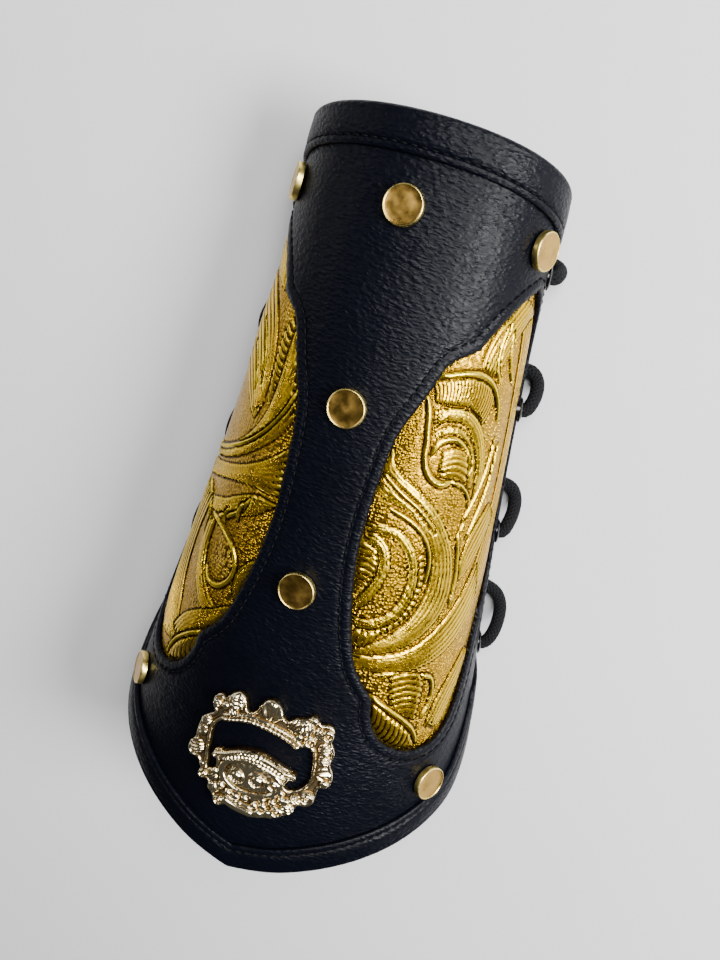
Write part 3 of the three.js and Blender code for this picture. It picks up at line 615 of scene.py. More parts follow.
def pale_ground():
    """Painted board: pale grey, quite matt, with a faint mottle."""
    material, tree, shader = new_material("pale_board", Roughness=0.7)
    place = add_node(tree, "ShaderNodeTexCoord").outputs["Object"]
    mottle = add_node(tree, "ShaderNodeTexNoise", {"Vector": place, "Scale": per_mm(160), "Detail": 3})
    colour = add_node(tree, "ShaderNodeMix", {0: mottle.outputs["Fac"], 6: linear("#dedfe1"),
                                              7: linear("#e8e8ea")}, data_type="RGBA")
    tree.links.new(colour.outputs[2], shader.inputs["Base Color"])
    return material


MATERIALS = {
    "leather": black_leather(),
    "gilt": gilt_leather(),
    "flesh": flesh_side(),
    "brass": rivet_brass(),
    "plate": pale_gold_plate(),
    "enamel": black_enamel(),
    "cord": braided_cord(),
    "thread": waxed_thread(),
    "ground": pale_ground(),
}


def finish_piece(piece, material, slot, *replaced):
    """Gives a piece its material and hands it to the frame."""
    if not piece.data.materials:
        piece.data.materials.append(MATERIALS[material])
    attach(piece, "root")
    if replaced:
        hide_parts(*replaced)


# Camera
CAMERA_PLACE = Vector((67.5, 137.5, 324.05)) * MM
CAMERA_RIGHT = Vector((0.9274, 0.2226, -0.3005))
CAMERA_DOWN = Vector((0.3180, -0.8922, 0.3206))
CAMERA_VIEW = Vector((-0.1967, -0.3929, -0.8983))
FOCAL_PIXELS = 994.41
PICTURE_HEIGHT = 960


def add_camera():
    data = bpy.data.cameras.new("camera")
    data.sensor_width = 36
    data.lens = data.sensor_width * FOCAL_PIXELS / PICTURE_HEIGHT
    data.clip_start = 0.01
    camera = bpy.data.objects.new("camera", data)
    turned = Matrix((CAMERA_RIGHT, -CAMERA_DOWN, -CAMERA_VIEW)).transposed().to_4x4()
    camera.matrix_world = Matrix.Translation(CAMERA_PLACE) @ turned
    bpy.context.scene.collection.objects.link(camera)
    bpy.context.scene.camera = camera


add_camera()


# Lace. Each loop leaves its eyelet, leans out past the edge and comes down to the floor: out is a
# share of its reach, back of its lean and rise of the eyelet's height. LOOP_SIZES has each eyelet's
# share of LOOP_REACH and of LOOP_LEAN, from the wrist to the elbow.
LOOP_PATH = [(0.93, 0.2, 0.78), (1, 0.46, 0.45), (0.84, 0.74, 0.12), (0.3, 0.96, 0)]
LOOP_SIZES = [(0.5, 0.16), (0.56, 0.65), (0.54, 0.8), (0.64, 1)]
EYELET_LIFTS = (-13, -6, -1, 2.2)
CROSSING_REACH = 12
TUCK = 6
CORD_STEP = 1.1
CORD_SIDES = 16


def cord_route(side):
    """The cord from the knot to the wrist, through each eyelet and under the edge to the far side."""
    places = eyelet_places()
    knot_y = LENGTH * (0.5 - places[-1][0])
    points = [(-side * KNOT_RADIUS * 0.3, knot_y, KNOT_RADIUS),
              (side * KNOT_RADIUS * 4, knot_y, KNOT_RADIUS)]
    at = side
    for i in reversed(range(len(places))):
        along, turn = places[i]
        points += [skin(along, at * turn, lift) for lift in EYELET_LIFTS]
        slack, lean_share = LOOP_SIZES[i]
        reach, lean = LOOP_REACH * slack, LOOP_LEAN * lean_share
        edge = face(along, 1.0)
        high = skin(along, turn, 0.0)[2]
        for out, back, rise in LOOP_PATH:
            z = CORD_RADIUS + (high - CORD_RADIUS) * rise
            points.append((at * (edge[0] + out * reach), edge[1] + back * lean, z))
        under = edge[1] + lean * 1.08
        points.append((at * (edge[0] - TUCK), under, CORD_RADIUS))
        if i > 0:
            next_y = LENGTH * (0.5 - places[i - 1][0])
            over = at * (1 if i % 2 else -1) > 0
            height = 3 * CORD_RADIUS + 2 * GAP if over else CORD_RADIUS
            y = (under + next_y) / 2
            points.append((at * CROSSING_REACH, y - CROSSING_REACH / 4, height))
            points.append((-at * CROSSING_REACH, y + CROSSING_REACH / 4, height))
        else:
            points.append((-at, under, CORD_RADIUS))
        at = -at
    return points


def cord_tube(name, points):
    """A round cord along a path, with its braid laid out in a UV map."""
    path, sides = evenly(spline(points, 16), CORD_STEP), CORD_SIDES
    path[:, 2] = np.maximum(path[:, 2], CORD_RADIUS)
    tangents = unit(np.gradient(path, axis=0))
    normal = unit(np.cross(tangents[0], (0.0, 0.0, 1.0)))
    rings = []
    for point, tangent in zip(path, tangents):
        normal = unit(normal - tangent * np.dot(normal, tangent))
        other = np.cross(tangent, normal)
        angles = 2 * math.pi * np.arange(sides)[:, None] / sides
        rings.append(point + CORD_RADIUS * (np.cos(angles) * normal + np.sin(angles) * other))
    faces = []
    places = []
    for r in range(len(path) - 1):
        for s in range(sides):
            t = (s + 1) % sides
            faces.append((r * sides + s, r * sides + t, (r + 1) * sides + t, (r + 1) * sides + s))
            low, high = r * CORD_STEP, (r + 1) * CORD_STEP
            places += [(s / sides, low), ((s + 1) / sides, low), ((s + 1) / sides, high), (s / sides, high)]
    last = (len(path) - 1) * sides
    faces += [tuple(reversed(range(sides))), tuple(last + s for s in range(sides))]
    places += [(0, 0)] * (2 * sides)
    piece = mesh_piece(name, np.vstack(rings), faces)
    layer = piece.data.uv_layers.new(name="braid")
    layer.data.foreach_set("uv", np.array(places, float).ravel())
    return piece


def add_lace():
    knot_y = LENGTH * (0.5 - eyelet_places()[-1][0])
    runs = [cord_tube("lace_run", cord_route(side)) for side in (1, -1)]
    for side in (-1, 1):
        runs.append(cord_tube("lace_end", [
            (side * 0.2 * KNOT_RADIUS, knot_y, KNOT_RADIUS),
            (side * 0.8 * KNOT_RADIUS, knot_y - 0.35 * FREE_END, CORD_RADIUS * 1.3),
            (side * 1.3 * KNOT_RADIUS, knot_y - 0.7 * FREE_END, CORD_RADIUS),
            (side * 1.5 * KNOT_RADIUS, knot_y - FREE_END, CORD_RADIUS),
        ]))
    turns = [(math.cos(a) * 4.4, knot_y + math.sin(2 * a) * 2.2, KNOT_RADIUS + math.sin(a) * 2.4)
             for a in np.linspace(0, 2 * math.pi, 13)]
    runs.append(cord_tube("lace_knot", turns))
    finish_piece(join_pieces("lace_cord", runs), "cord", "cord", "lace")


# Shell: its grid is about 1 mm fine, and a padded hem runs round each window inside the stitches
SHELL_ROWS, SHELL_COLUMNS = 236, 250
UNDER_BAND = 2
HEM_WIDTH = 3.4
HEM_PUFF = 0.16
STITCH_GROOVE = {"depth": 0.4, "width": 0.5}
ROLLED_EDGE = {"depth": 0.5, "width": 0.45}


def add_shell():
    turn = np.linspace(-1, 1, SHELL_COLUMNS)[None, :].repeat(SHELL_ROWS, 0)
    start = wrist_hem(turn[0]) - UNDER_BAND / LENGTH
    end = elbow_hem(turn[0]) + UNDER_BAND / LENGTH
    share = np.linspace(0, 1, SHELL_ROWS)[:, None]
    along = start + (end - start) * share
    cuts = [window_outline(1), window_outline(-1)]
    for eyelet_along, eyelet_turn in eyelet_places():
        for side in (1, -1):
            cuts.append(circle_outline(eyelet_along, side * eyelet_turn, EYELET_HOLE_RADIUS))

    def lift_of(along, turn, depth):
        hem = np.clip(depth / HEM_WIDTH, 0, 1)
        puffed = HEM_PUFF * np.sqrt(np.maximum(0, 1 - (2 * hem - 1) ** 4)) * (depth < HEM_WIDTH)
        off_groove = (depth - WINDOW_STITCH_INSET) / STITCH_GROOVE["width"]
        groove = -STITCH_GROOVE["depth"] * np.exp(-off_groove ** 2)
        rolled = -ROLLED_EDGE["depth"] * np.exp(-np.maximum(depth, 0) / ROLLED_EDGE["width"])
        return puffed + groove + rolled

    piece, along, _, _ = cut_sheet("shell_leather", along, turn, skin, cuts, [], lift_of, -LEATHER)
    mark_flesh_side(piece, "leather", len(along))
    finish_piece(piece, "leather", "leather", "shell")


def mark_flesh_side(piece, face_material, first_inner):
    """Faces whose points all lie on the inner side get the flesh side's material."""
    piece.data.materials.append(MATERIALS[face_material])
    piece.data.materials.append(MATERIALS["flesh"])
    starts = np.zeros(len(piece.data.polygons), int)
    piece.data.polygons.foreach_get("loop_start", starts)
    corners = np.zeros(len(piece.data.loops), int)
    piece.data.loops.foreach_get("vertex_index", corners)
    inner = np.minimum.reduceat(corners, starts) >= first_inner
    piece.data.polygons.foreach_set("material_index", inner.astype(int))


# Embossed pattern of each window in flat millimetres: x is CHART_WIDTH times the turn, y runs from the
# wrist rim to the elbow. Later rows lie over earlier ones. "ribs" lie side by side between two edge
# lines, "rungs" cross from one line to the other, and a "ridge" follows one line.
CHART_WIDTH = 108
RIGHT_PATTERN = [
    ("beads", 1.0, [(46, 66), (60, 68), (70, 76), (74, 96), (70, 112), (62, 112), (63, 92), (56, 80),
      (46, 76)]),
    ("ribs", 6, 0.35, [(70, 44), (76, 62), (79, 84), (78, 106), (72, 126), (63, 140)],
     [(88, 52), (91, 72), (92, 94), (88, 114), (82, 132), (74, 146)]),
    ("ribs", 6, 0.45, [(50, 64), (51, 59), (55, 53), (62, 48), (70, 43)],
     [(60, 66), (64, 60), (70, 54), (78, 49), (85, 48)]),
    ("ridge", 1.0, 0.5, [(61, 51), (58.6, 56), (58.4, 61), (60, 65), (63, 68)]),
    ("ridge", 0.9, 0.45, [(65, 53), (66.5, 59), (69.5, 64.5), (74, 69)]),
    ("rungs", 20, 0.4, [(29.5, 70), (34, 68), (41, 66.6), (48, 66.3), (55, 68), (61, 71)],
     [(32, 75), (37, 75.4), (43, 75), (48, 75.5), (53, 77.8), (57, 81)]),
    ("ridge", 1.25, 0.65, [(28, 73), (30.4, 68.3), (35.8, 66.9), (41, 65.9), (47, 65.6), (53, 66.4),
      (59, 69), (64, 74), (67, 80)]),
    ("ribs", 4, 0.55, [(33, 78), (37, 76.8), (43, 76.4), (49, 77.2), (54.6, 80.2), (59, 84.6),
      (62.2, 90.5), (63.6, 98), (62.6, 106)],
     [(34, 83), (38, 80.4), (43.5, 80), (48.4, 81.2), (52.8, 84.6), (56.8, 90), (59.2, 96), (60, 101),
      (60.4, 106)]),
    ("ribs", 5, 0.5, [(35, 84), (40, 82), (46, 82.4), (52, 86), (56, 91.4), (58, 97.4), (58.4, 101)],
     [(37.5, 86.6), (42, 85.6), (46.6, 86.6), (50.4, 89.4), (53.4, 93.4), (55, 98), (56, 101)]),
    ("ridge", 1.3, 0.65, [(35.4, 90.6), (38, 87), (43, 85.6), (48, 87), (52.4, 90.4), (54.6, 95)]),
    ("rungs", 6, 0.45, [(40.5, 90), (40.5, 93), (40.6, 95.4), (41.4, 97.2), (43, 98.4)],
     [(50, 89.6), (53, 92.4), (54, 95.4), (54, 98.2), (51.6, 100.6)]),
    ("ridge", 1.5, 0.75, [(29, 74.5), (30.6, 78.4), (31.6, 83), (32.6, 87.4), (33, 91.6), (34.8, 95.6),
      (38.2, 98.6), (42, 99.8), (47, 99)]),
    ("ridge", 0.9, 0.5, [(47, 99), (52, 100.2), (56.4, 103), (58.8, 107), (58, 112.6), (55.6, 118)]),
    ("ribs", 5, 0.45, [(60, 128), (62, 120), (67, 113.6), (74, 108)],
     [(60.6, 133), (66, 129), (73, 122), (80, 113)]),
    ("ridge", 1.0, 0.5, [(56, 116), (58, 124), (59.4, 132), (58.6, 141)]),
    ("beads", 1.0, [(19, 109.5), (30, 110), (38, 113), (42, 118), (36, 119), (29, 115.4), (19, 114.6)]),
    ("ribs", 6, 0.6, [(20.6, 90.5), (21.8, 95.4), (25.6, 98.4), (31.4, 101.2), (38, 105), (44, 109.4),
      (49.4, 115), (53.8, 121.4), (56.4, 128.6), (56.8, 136), (54.6, 142.4), (50.6, 147), (45, 151.4),
      (36, 155.6), (24.5, 158.6)],
     [(17, 103.4), (19.4, 105.4), (24.2, 106.8), (30.4, 108.6), (36, 111.4), (40.6, 115.6),
      (43.8, 120.4), (45.8, 125.6), (46.4, 131), (45.2, 137), (42.2, 143), (38.2, 147.4), (33, 151.4),
      (27, 154.4), (22.6, 156.6)]),
    ("rungs", 15, 0.4, [(40.8, 122), (42.6, 128), (43, 134), (41, 140.4), (36.4, 146.4), (30, 150.6)],
     [(37.4, 124), (39.6, 130), (39.6, 135), (37.6, 140.4), (33.6, 145.2), (28.4, 148)]),
    ("beads", 1.35, [(19, 116), (27, 117), (33, 121), (37, 128), (37, 135), (33, 142), (27, 146),
      (20, 146)]),
    ("rungs", 9, 0.45, [(16.5, 119), (16.5, 128), (17.5, 138)],
     [(22.4, 121.6), (24.4, 128), (21.4, 137)]),
    ("ribs", 3, 0.6, [(18.6, 117), (24.6, 119), (28.2, 123.6), (28.8, 129), (27, 135), (23.6, 140.4),
      (19.4, 144)],
     [(18.2, 120.6), (22.6, 122), (25, 125.4), (25.4, 129.4), (23.8, 134), (21, 138.6), (18.4, 141.6)]),
    ("ribs", 3, 0.7, [(17.4, 115), (24, 114.6), (30.2, 115.8), (35.6, 119.4), (39.2, 125),
      (40.6, 131.4), (39.6, 138), (36, 144), (30.6, 147.6), (24.6, 148.8), (19, 147.8)],
     [(17.6, 117.6), (23.6, 117.4), (28.8, 118.4), (33.2, 121.6), (36.2, 126.4), (37.2, 131.6),
      (36.2, 137), (33.2, 141.8), (28.8, 144.8), (24, 145.8), (19.6, 145)]),
    ("ridge", 1.0, 0.6, [(24, 109), (33, 112), (40.4, 117), (44.4, 124), (44.6, 132)]),
    ("ridge", 0.9, 0.6, [(19.4, 99), (27, 103.6), (36, 108.4), (44, 114.6)]),
    ("rungs", 4, 0.4, [(21, 155.6), (25, 154.6), (29, 152.4)],
     [(22.6, 149.6), (26.6, 150.4), (31.6, 148.6)]),
    ("ribs", 6, 0.55, [(21, 158.2), (31, 157.6), (41, 155.8), (50, 151.4), (58, 145), (65.6, 137),
      (72, 128)],
     [(23, 162.6), (33, 163), (43, 162.6), (53, 160.2), (62, 156), (70, 149.6), (77, 142)]),
    ("ridge", 0.9, 0.6, [(57, 112), (62, 104), (66, 96), (68, 86)]),
    ("ridge", 0.9, 0.6, [(61, 118), (66, 109), (70, 100), (72, 88)]),
    ("ridge", 0.9, 0.5, [(31, 164.6), (38, 163.6), (45, 163.8), (51, 165)]),
    ("beads", 1.1, [(25, 164), (38, 165), (39, 172), (33, 172), (27, 168)]),
    ("rungs", 8, 0.45, [(38.6, 164.6), (39, 170), (40.4, 175), (44, 180)],
     [(52, 165), (52, 170), (51.6, 175), (51, 181)]),
    ("ribs", 5, 0.45, [(56, 184), (60, 175), (66, 167), (74, 159)],
     [(62, 186), (68, 178), (74, 170), (79, 162)]),
    ("ridge", 1.1, 0.55, [(51, 164.6), (55.4, 166.2), (57, 170.4), (56.4, 175.4), (53.6, 180.4)]),
    ("rungs", 11, 0.5, [(33.4, 174.4), (38, 177.6), (44, 181.6), (50, 186), (52, 191)],
     [(33.6, 182), (38, 188), (43, 191), (48, 192.6), (52, 194)]),
    ("ridge", 1.2, 0.75, [(31, 171.4), (35.4, 174), (40, 176.8), (45.6, 180.4), (50.4, 184.4),
      (53.6, 190)]),
]
LEFT_PATTERN = [
    ("beads", 1.1, [(36, 60), (45, 62), (44, 70), (40, 80), (38, 92), (33, 92), (32, 78), (34, 68)]),
    ("ribs", 10, 0.55, [(92, 56), (78, 55.6), (66, 57), (57.6, 60), (51, 63.8), (45.4, 69.4),
      (41.4, 76.4), (39.6, 84), (38.8, 92)],
     [(92, 88), (80, 88), (68, 88.4), (62, 89.4), (57, 91), (53, 93), (49, 95), (45.6, 97), (42, 98.6)]),
    ("rungs", 11, 0.4, [(36.5, 64), (39, 70), (38.6, 80), (36.8, 90)],
     [(33.6, 66), (33.4, 74), (33.6, 82), (34.6, 92)]),
    ("ribs", 8, 0.5, [(54, 50), (62, 45), (72, 42.4), (84, 45)],
     [(50, 59), (59, 56), (70, 53.4), (84, 54)]),
    ("ribs", 9, 0.6, [(33.4, 66.6), (32.4, 76.6), (32.4, 84.6), (33.6, 92.4), (37.4, 99.8),
      (44, 106.2), (54.6, 111.6), (70, 116), (88, 118)],
     [(20.6, 92.6), (23.6, 97.2), (28, 101.6), (33.6, 105.8), (40, 109.8), (47, 113.4), (57, 117),
      (72, 120.6), (88, 122)]),
    ("ridge", 0.9, 0.7, [(22.6, 82), (25.2, 90), (30, 97), (36.8, 103.4), (44.6, 108.2), (57, 113.6),
      (72, 118)]),
    ("ribs", 7, 0.55, [(17.6, 99.6), (22, 104), (27.4, 108), (35, 112), (45.6, 116), (60, 120),
      (78, 124)],
     [(16.6, 117), (23, 117), (30, 117.4), (38, 119), (47, 121.4), (60, 125), (78, 130)]),
    ("ribs", 5, 0.5, [(17, 119.4), (27, 120), (36, 123.6), (44, 127.6), (54, 130.6)],
     [(24, 124.4), (30, 127.4), (36, 130), (43, 132.4), (52, 134.6)]),
    ("ridge", 1.1, 0.6, [(29.4, 122), (31.4, 126), (35, 129.4), (39.4, 132), (44, 133.6)]),
    ("ridge", 1.1, 0.8, [(31.6, 124.4), (33, 127.4), (32.4, 130.4)]),
    ("ridge", 1.0, 0.8, [(38.6, 129), (40, 132), (39, 135.4)]),
    ("ridge", 0.8, 0.6, [(64, 128), (56, 131), (51.4, 137), (50.6, 144)]),
    ("ridge", 0.7, 0.5, [(60, 70), (52.6, 74), (47, 80), (44, 87)]),
    ("ridge", 0.7, 0.5, [(64, 78), (57, 80.6), (51, 85), (47.4, 90)]),
    ("ribs", 10, 0.5, [(54, 132), (57, 144), (56, 158), (50, 172), (44, 184)],
     [(80, 130), (84, 146), (80, 162), (72, 176), (60, 186)]),
    ("ribs", 4, 0.5, [(50, 135), (50, 146), (46.4, 156), (38, 164), (29, 168)],
     [(45, 137), (44.6, 146), (41, 153.4), (34.6, 159), (27, 162)]),
    ("beads", 1.1, [(28, 141), (34, 139), (40, 141), (42, 147), (39, 152), (33, 154), (28, 150)]),
    ("ridge", 1.2, 0.7, [(48.6, 134.6), (42, 135.4), (35, 137.4), (29.4, 140.4), (26.6, 145),
      (27.6, 150), (31.6, 154), (37, 154.6), (41.4, 151)]),
    ("ribs", 4, 0.5, [(18.4, 138.4), (22.4, 142), (25, 146.4), (24.8, 152), (21.6, 157)],
     [(17, 143), (19.4, 146), (21, 149.4), (20.6, 153), (18.6, 156)]),
    ("ribs", 5, 0.55, [(22, 157), (30, 162), (38, 166.6), (45, 172), (50, 179)],
     [(24, 164), (31, 169), (36, 173), (40, 178), (42, 184)]),
    ("rungs", 8, 0.45, [(33, 174), (37, 177), (42, 182), (47, 186)],
     [(33, 182), (37, 187), (43, 191), (50, 193)]),
    ("ridge", 1.1, 0.65, [(31, 172), (36, 174.6), (41.6, 179), (46, 184), (48.6, 191)]),
]


def share_along(line, share):
    places = share * (len(line) - 1)
    return np.stack([np.interp(places, np.arange(len(line)), line[:, k]) for k in (0, 1)], -1)


def pattern_paths(kind, count, first, second):
    """The lines that a row of the pattern presses, and half the width of each along its length."""
    a, b = evenly(spline(first, 12), 0.5), evenly(spline(second, 12), 0.5)
    reach = np.linalg.norm(a[0] - b[0]) + np.linalg.norm(a[-1] - b[-1])
    long_way = 0.5 * max(len(a), len(b)) if kind == "ribs" else reach
    run = np.linspace(0, 1, int(long_way / 0.2) + 12)
    shares = (np.arange(count) + 0.5) / count
    if kind == "ribs":
        edge_a, edge_b = share_along(a, run), share_along(b, run)
        span = np.linalg.norm(edge_a - edge_b, axis=1)
        return [(1 - k) * edge_a + k * edge_b for k in shares], [span / count / 2] * count
    paths, halves = [], []
    for k in shares:
        start, end = share_along(a, k), share_along(b, k)
        aside = np.array((end[1] - start[1], start[0] - end[0])) * 0.12
        paths.append(start + (end - start) * run[:, None] + aside * np.sin(math.pi * run)[:, None])
        low, high = max(0, k - 0.5 / count), min(1, k + 0.5 / count)
        wide_a, wide_b = [np.linalg.norm(share_along(line, high) - share_along(line, low)) / 2
                          for line in (a, b)]
        halves.append(wide_a + (wide_b - wide_a) * run)
    return paths, halves


def press(x, y, rows):
    """Relief in millimetres over places (x, y), with masks of the plain ground and of the beads, and a
    number that rises by one across each rib, for the fine lines."""
    relief, ground, beads, lines = (np.full(x.shape, value) for value in (0.0, 1.0, 0.0, 0.0))
    for kind, *row in rows:
        if kind == "beads":
            size, outline = row
            within = inside(evenly(spline(outline, 8, closed=True), 1.0, closed=True)[:, ::-1], y, x)
            relief[within], ground[within], beads[within], lines[within] = 0, 0, size, 0
            continue
        if kind == "ridge":
            half, height, line = row
            paths = [evenly(spline(line, 12), 0.2)]
            halves = [np.full(len(paths[0]), 0.82 * half)]
        else:
            count, height, first, second = row
            paths, halves = pattern_paths(kind, count, first, second)
        points = np.vstack(paths)
        tangent = np.vstack([unit(np.gradient(path, axis=0)) for path in paths])
        which = np.concatenate([np.full(len(path), k) for k, path in enumerate(paths)])
        shares = np.concatenate([np.linspace(0, 1, len(path)) for path in paths])
        taper = np.minimum(1, np.minimum(shares, 1 - shares) / 0.12 + 0.25)
        halves = np.maximum(np.concatenate(halves) * np.sqrt(taper), 0.3)
        low, high = points.min(0) - 3, points.max(0) + 3
        close = np.flatnonzero((x > low[0]) & (x < high[0]) & (y > low[1]) & (y < high[1]))
        if not len(close):
            continue
        spots = on_plane(np.stack([x[close], y[close]], -1))
        distance, index = nearest(on_plane(points), spots)
        half = halves[index]
        off = spots[:, :2] - points[index]
        across = (off[:, 0] * tangent[index, 1] - off[:, 1] * tangent[index, 0]) / half
        over = distance / half
        # A rib too narrow for the mesh is left to the fine lines
        sharp = np.clip((half - 0.6) / 0.5, 0.25, 1) if len(paths) > 1 else 1
        crown = np.sin(math.pi * np.clip((which[index] + 0.5 + across / 2) / len(paths), 0, 1))
        rise = np.minimum(height, 0.9 * half + 0.1) * np.sqrt(taper[index])
        profile = 1 - sharp * (1 - np.sqrt(np.maximum(0, 1 - over**2)))
        on = over < 1
        spot = close[on]
        relief[spot] = (0.05 + rise * profile * (0.55 + 0.6 * crown))[on]
        lines[spot] = (which[index] + 0.5 + across / 2)[on] if len(paths) > 1 else 0
        ground[spot], beads[spot] = 0, 0
        cut = (over >= 1) & (distance < half + 0.5)
        spot = close[cut]
        relief[spot] = np.minimum(relief[spot], -0.25)
        ground[spot], beads[spot], lines[spot] = 0, 0, 0
    return relief, ground, beads, lines


# Middle of a window as (along, turn), the panels' grid and how far the gilt leather bulges through it
WINDOW_MIDDLE = (0.47, 0.5)
PANEL_CELL = 0.55
PADDING = 0.9
PADDING_REACH = 5
FOIL_EDGE = (0.3, 1.2)


def panel_outline(side):
    """The gilt leather's edge: past the window by the seam allowance, and out to the lacing edge."""
    rate = np.linalg.norm(face(WINDOW_MIDDLE[0], 0) - face(WINDOW_MIDDLE[0], 0.1)) * 10
    arcs = np.vstack([np.array(arc[1:-1]) for arc in WINDOW_ARCS[:3]])
    flat = arcs * (LENGTH, rate)
    run = np.vstack([flat[1:], flat[-1:]]) - np.vstack([flat[:1], flat[:-1]])
    out = unit(np.stack([run[:, 1], -run[:, 0]], -1))
    away = np.sum(out * (flat - np.array(WINDOW_MIDDLE) * (LENGTH, rate)), 1) < 0
    out[away] *= -1
    rows = (flat + out * SEAM_ALLOWANCE) / (LENGTH, rate)
    tab = PANEL_TAB
    corners = np.array([
        ((tab["end"] + tab["slant"]) / LENGTH, tab["from_turn"]), (tab["end"] / LENGTH, tab["beyond_edge"]),
        (tab["start"] / LENGTH, tab["beyond_edge"]), (tab["start"] / LENGTH, tab["from_turn"]),
    ])
    ring = np.vstack([rows, corners])
    scaled = evenly(ring * (LENGTH, rate), 0.5, closed=True) / (LENGTH, rate)
    scaled[:, 1] *= side
    return scaled


def add_panel(name, node, side, rows):
    outline = panel_outline(side)
    low, high = outline[:, 0].min() - 0.003, outline[:, 0].max() + 0.003
    inner_turn = np.abs(outline[:, 1]).min() - 0.004
    along = np.linspace(low, high, int((high - low) * LENGTH / PANEL_CELL))
    turn = side * np.linspace(inner_turn, 1, int((1 - inner_turn) * CHART_WIDTH / PANEL_CELL))
    if side < 0:
        turn = turn[::-1]
    alongs, turns = [grid.T for grid in np.meshgrid(along, turn)]
    window = window_outline(side)
    rim = face(window[:, 0], window[:, 1])
    holes = [circle_outline(a, side * t, EYELET_HOLE_RADIUS) for a, t in eyelet_places()]
    masks = {}

    def lift_of(along, turn, _):
        distance, _ = nearest(rim, face(along, turn))
        within = np.where(inside(window, along, turn), distance, 0)
        relief, ground, beads, lines = press(CHART_WIDTH * side * turn, LENGTH * along, rows)
        open_share = np.clip((within - FOIL_EDGE[0]) / FOIL_EDGE[1], 0, 1)
        padding = PADDING * np.clip(within / PADDING_REACH, 0, 1) ** 0.6
        masks.update(relief=relief, ground=ground, beads=beads, lines=lines)
        return -LEATHER - GAP + padding + relief * open_share

    piece, u, _, _ = cut_sheet(name, alongs, turns, skin, holes, [outline], lift_of, -LEATHER - GAP - PANEL)
    shade = np.tile(masks["relief"], 2)
    # Painted shade: the relief stored for the colour is darkened by three times its hollows, in grooves and
    # recesses.
    store(piece, "relief", 0.6 * shade - 3 * hollows(piece, shade, 3))
    for key in ("ground", "beads", "lines"):
        store(piece, key, np.tile(masks[key], 2))
    mark_flesh_side(piece, "gilt", len(u))
    finish_piece(piece, "gilt", "gold_leather", node)


def stitch_row(name, places, lift):
    """Separate stitches along a row of (along, turn) places, sunk a little at both ends."""
    path = skin(places[:, 0], places[:, 1], lift)
    normals = face_frame(places[:, 0], places[:, 1])[1]
    lengths = np.concatenate([[0], np.cumsum(np.linalg.norm(np.diff(path, axis=0), axis=1))])
    starts = np.arange(0.5, lengths[-1] - STITCH_LENGTH, STITCH_PITCH)
    points, faces = [], []
    sides = rings = 6
    for start in starts:
        stops = start + STITCH_LENGTH * np.linspace(0, 1, rings)
        centre = np.stack([np.interp(stops, lengths, path[:, k]) for k in range(3)], -1)
        normal = unit(np.stack([np.interp(stops, lengths, normals[:, k]) for k in range(3)], -1))
        tangent = unit(np.gradient(centre, axis=0))
        across = unit(np.cross(tangent, normal))
        bow = np.sin(np.linspace(0, math.pi, rings))
        base = len(points)
        for r in range(rings):
            radius = THREAD_RADIUS * (0.45 + 0.55 * bow[r] ** 0.5)
            middle = centre[r] + normal[r] * (bow[r] * 0.3 - 0.15)
            for s in range(sides):
                angle = 2 * math.pi * s / sides
                points.append(middle + radius * (math.cos(angle) * across[r] + math.sin(angle) * normal[r]))
        for r in range(rings - 1):
            for s in range(sides):
                t = (s + 1) % sides
                row, above = base + r * sides, base + (r + 1) * sides
                faces.append((row + s, above + s, above + t, row + t))
        faces.append(tuple(base + s for s in range(sides)))
        faces.append(tuple(base + (rings - 1) * sides + s for s in reversed(range(sides))))
    finish_piece(mesh_piece(name, points, faces), "thread", "leather")


def window_stitch_path(side):
    """The stitch line round a window: its outline moved outwards, without the folds at corners."""
    outline = window_outline(side)
    points = face(outline[:, 0], outline[:, 1])
    across, normal, _ = face_frame(outline[:, 0], outline[:, 1])
    tangent = unit(np.roll(points, -4, 0) - np.roll(points, 4, 0))
    out = np.cross(tangent, normal)
    centre = face(WINDOW_MIDDLE[0], side * WINDOW_MIDDLE[1])
    if np.sum(out * (points - centre)) < 0:
        out = -out
    step = 0.01
    beside = face(outline[:, 0], outline[:, 1] + step) - face(outline[:, 0], outline[:, 1] - step)
    rate = np.linalg.norm(beside, axis=1) / (2 * step)
    moved = outline.copy()
    moved[:, 0] -= WINDOW_STITCH_INSET * out[:, 1] / LENGTH
    moved[:, 1] += WINDOW_STITCH_INSET * np.sum(out * across, 1) / rate
    places = face(moved[:, 0], moved[:, 1])
    distance, _ = nearest(points, places)
    eyelets = np.array([face(a, side * t) for a, t in eyelet_places()])
    clear = nearest(eyelets, places)[0] > EYELET_FLANGE_RADIUS + 1.5
    return moved[(distance > WINDOW_STITCH_INSET * 0.93) & clear]


# Bands
BAND_COLUMNS = 300


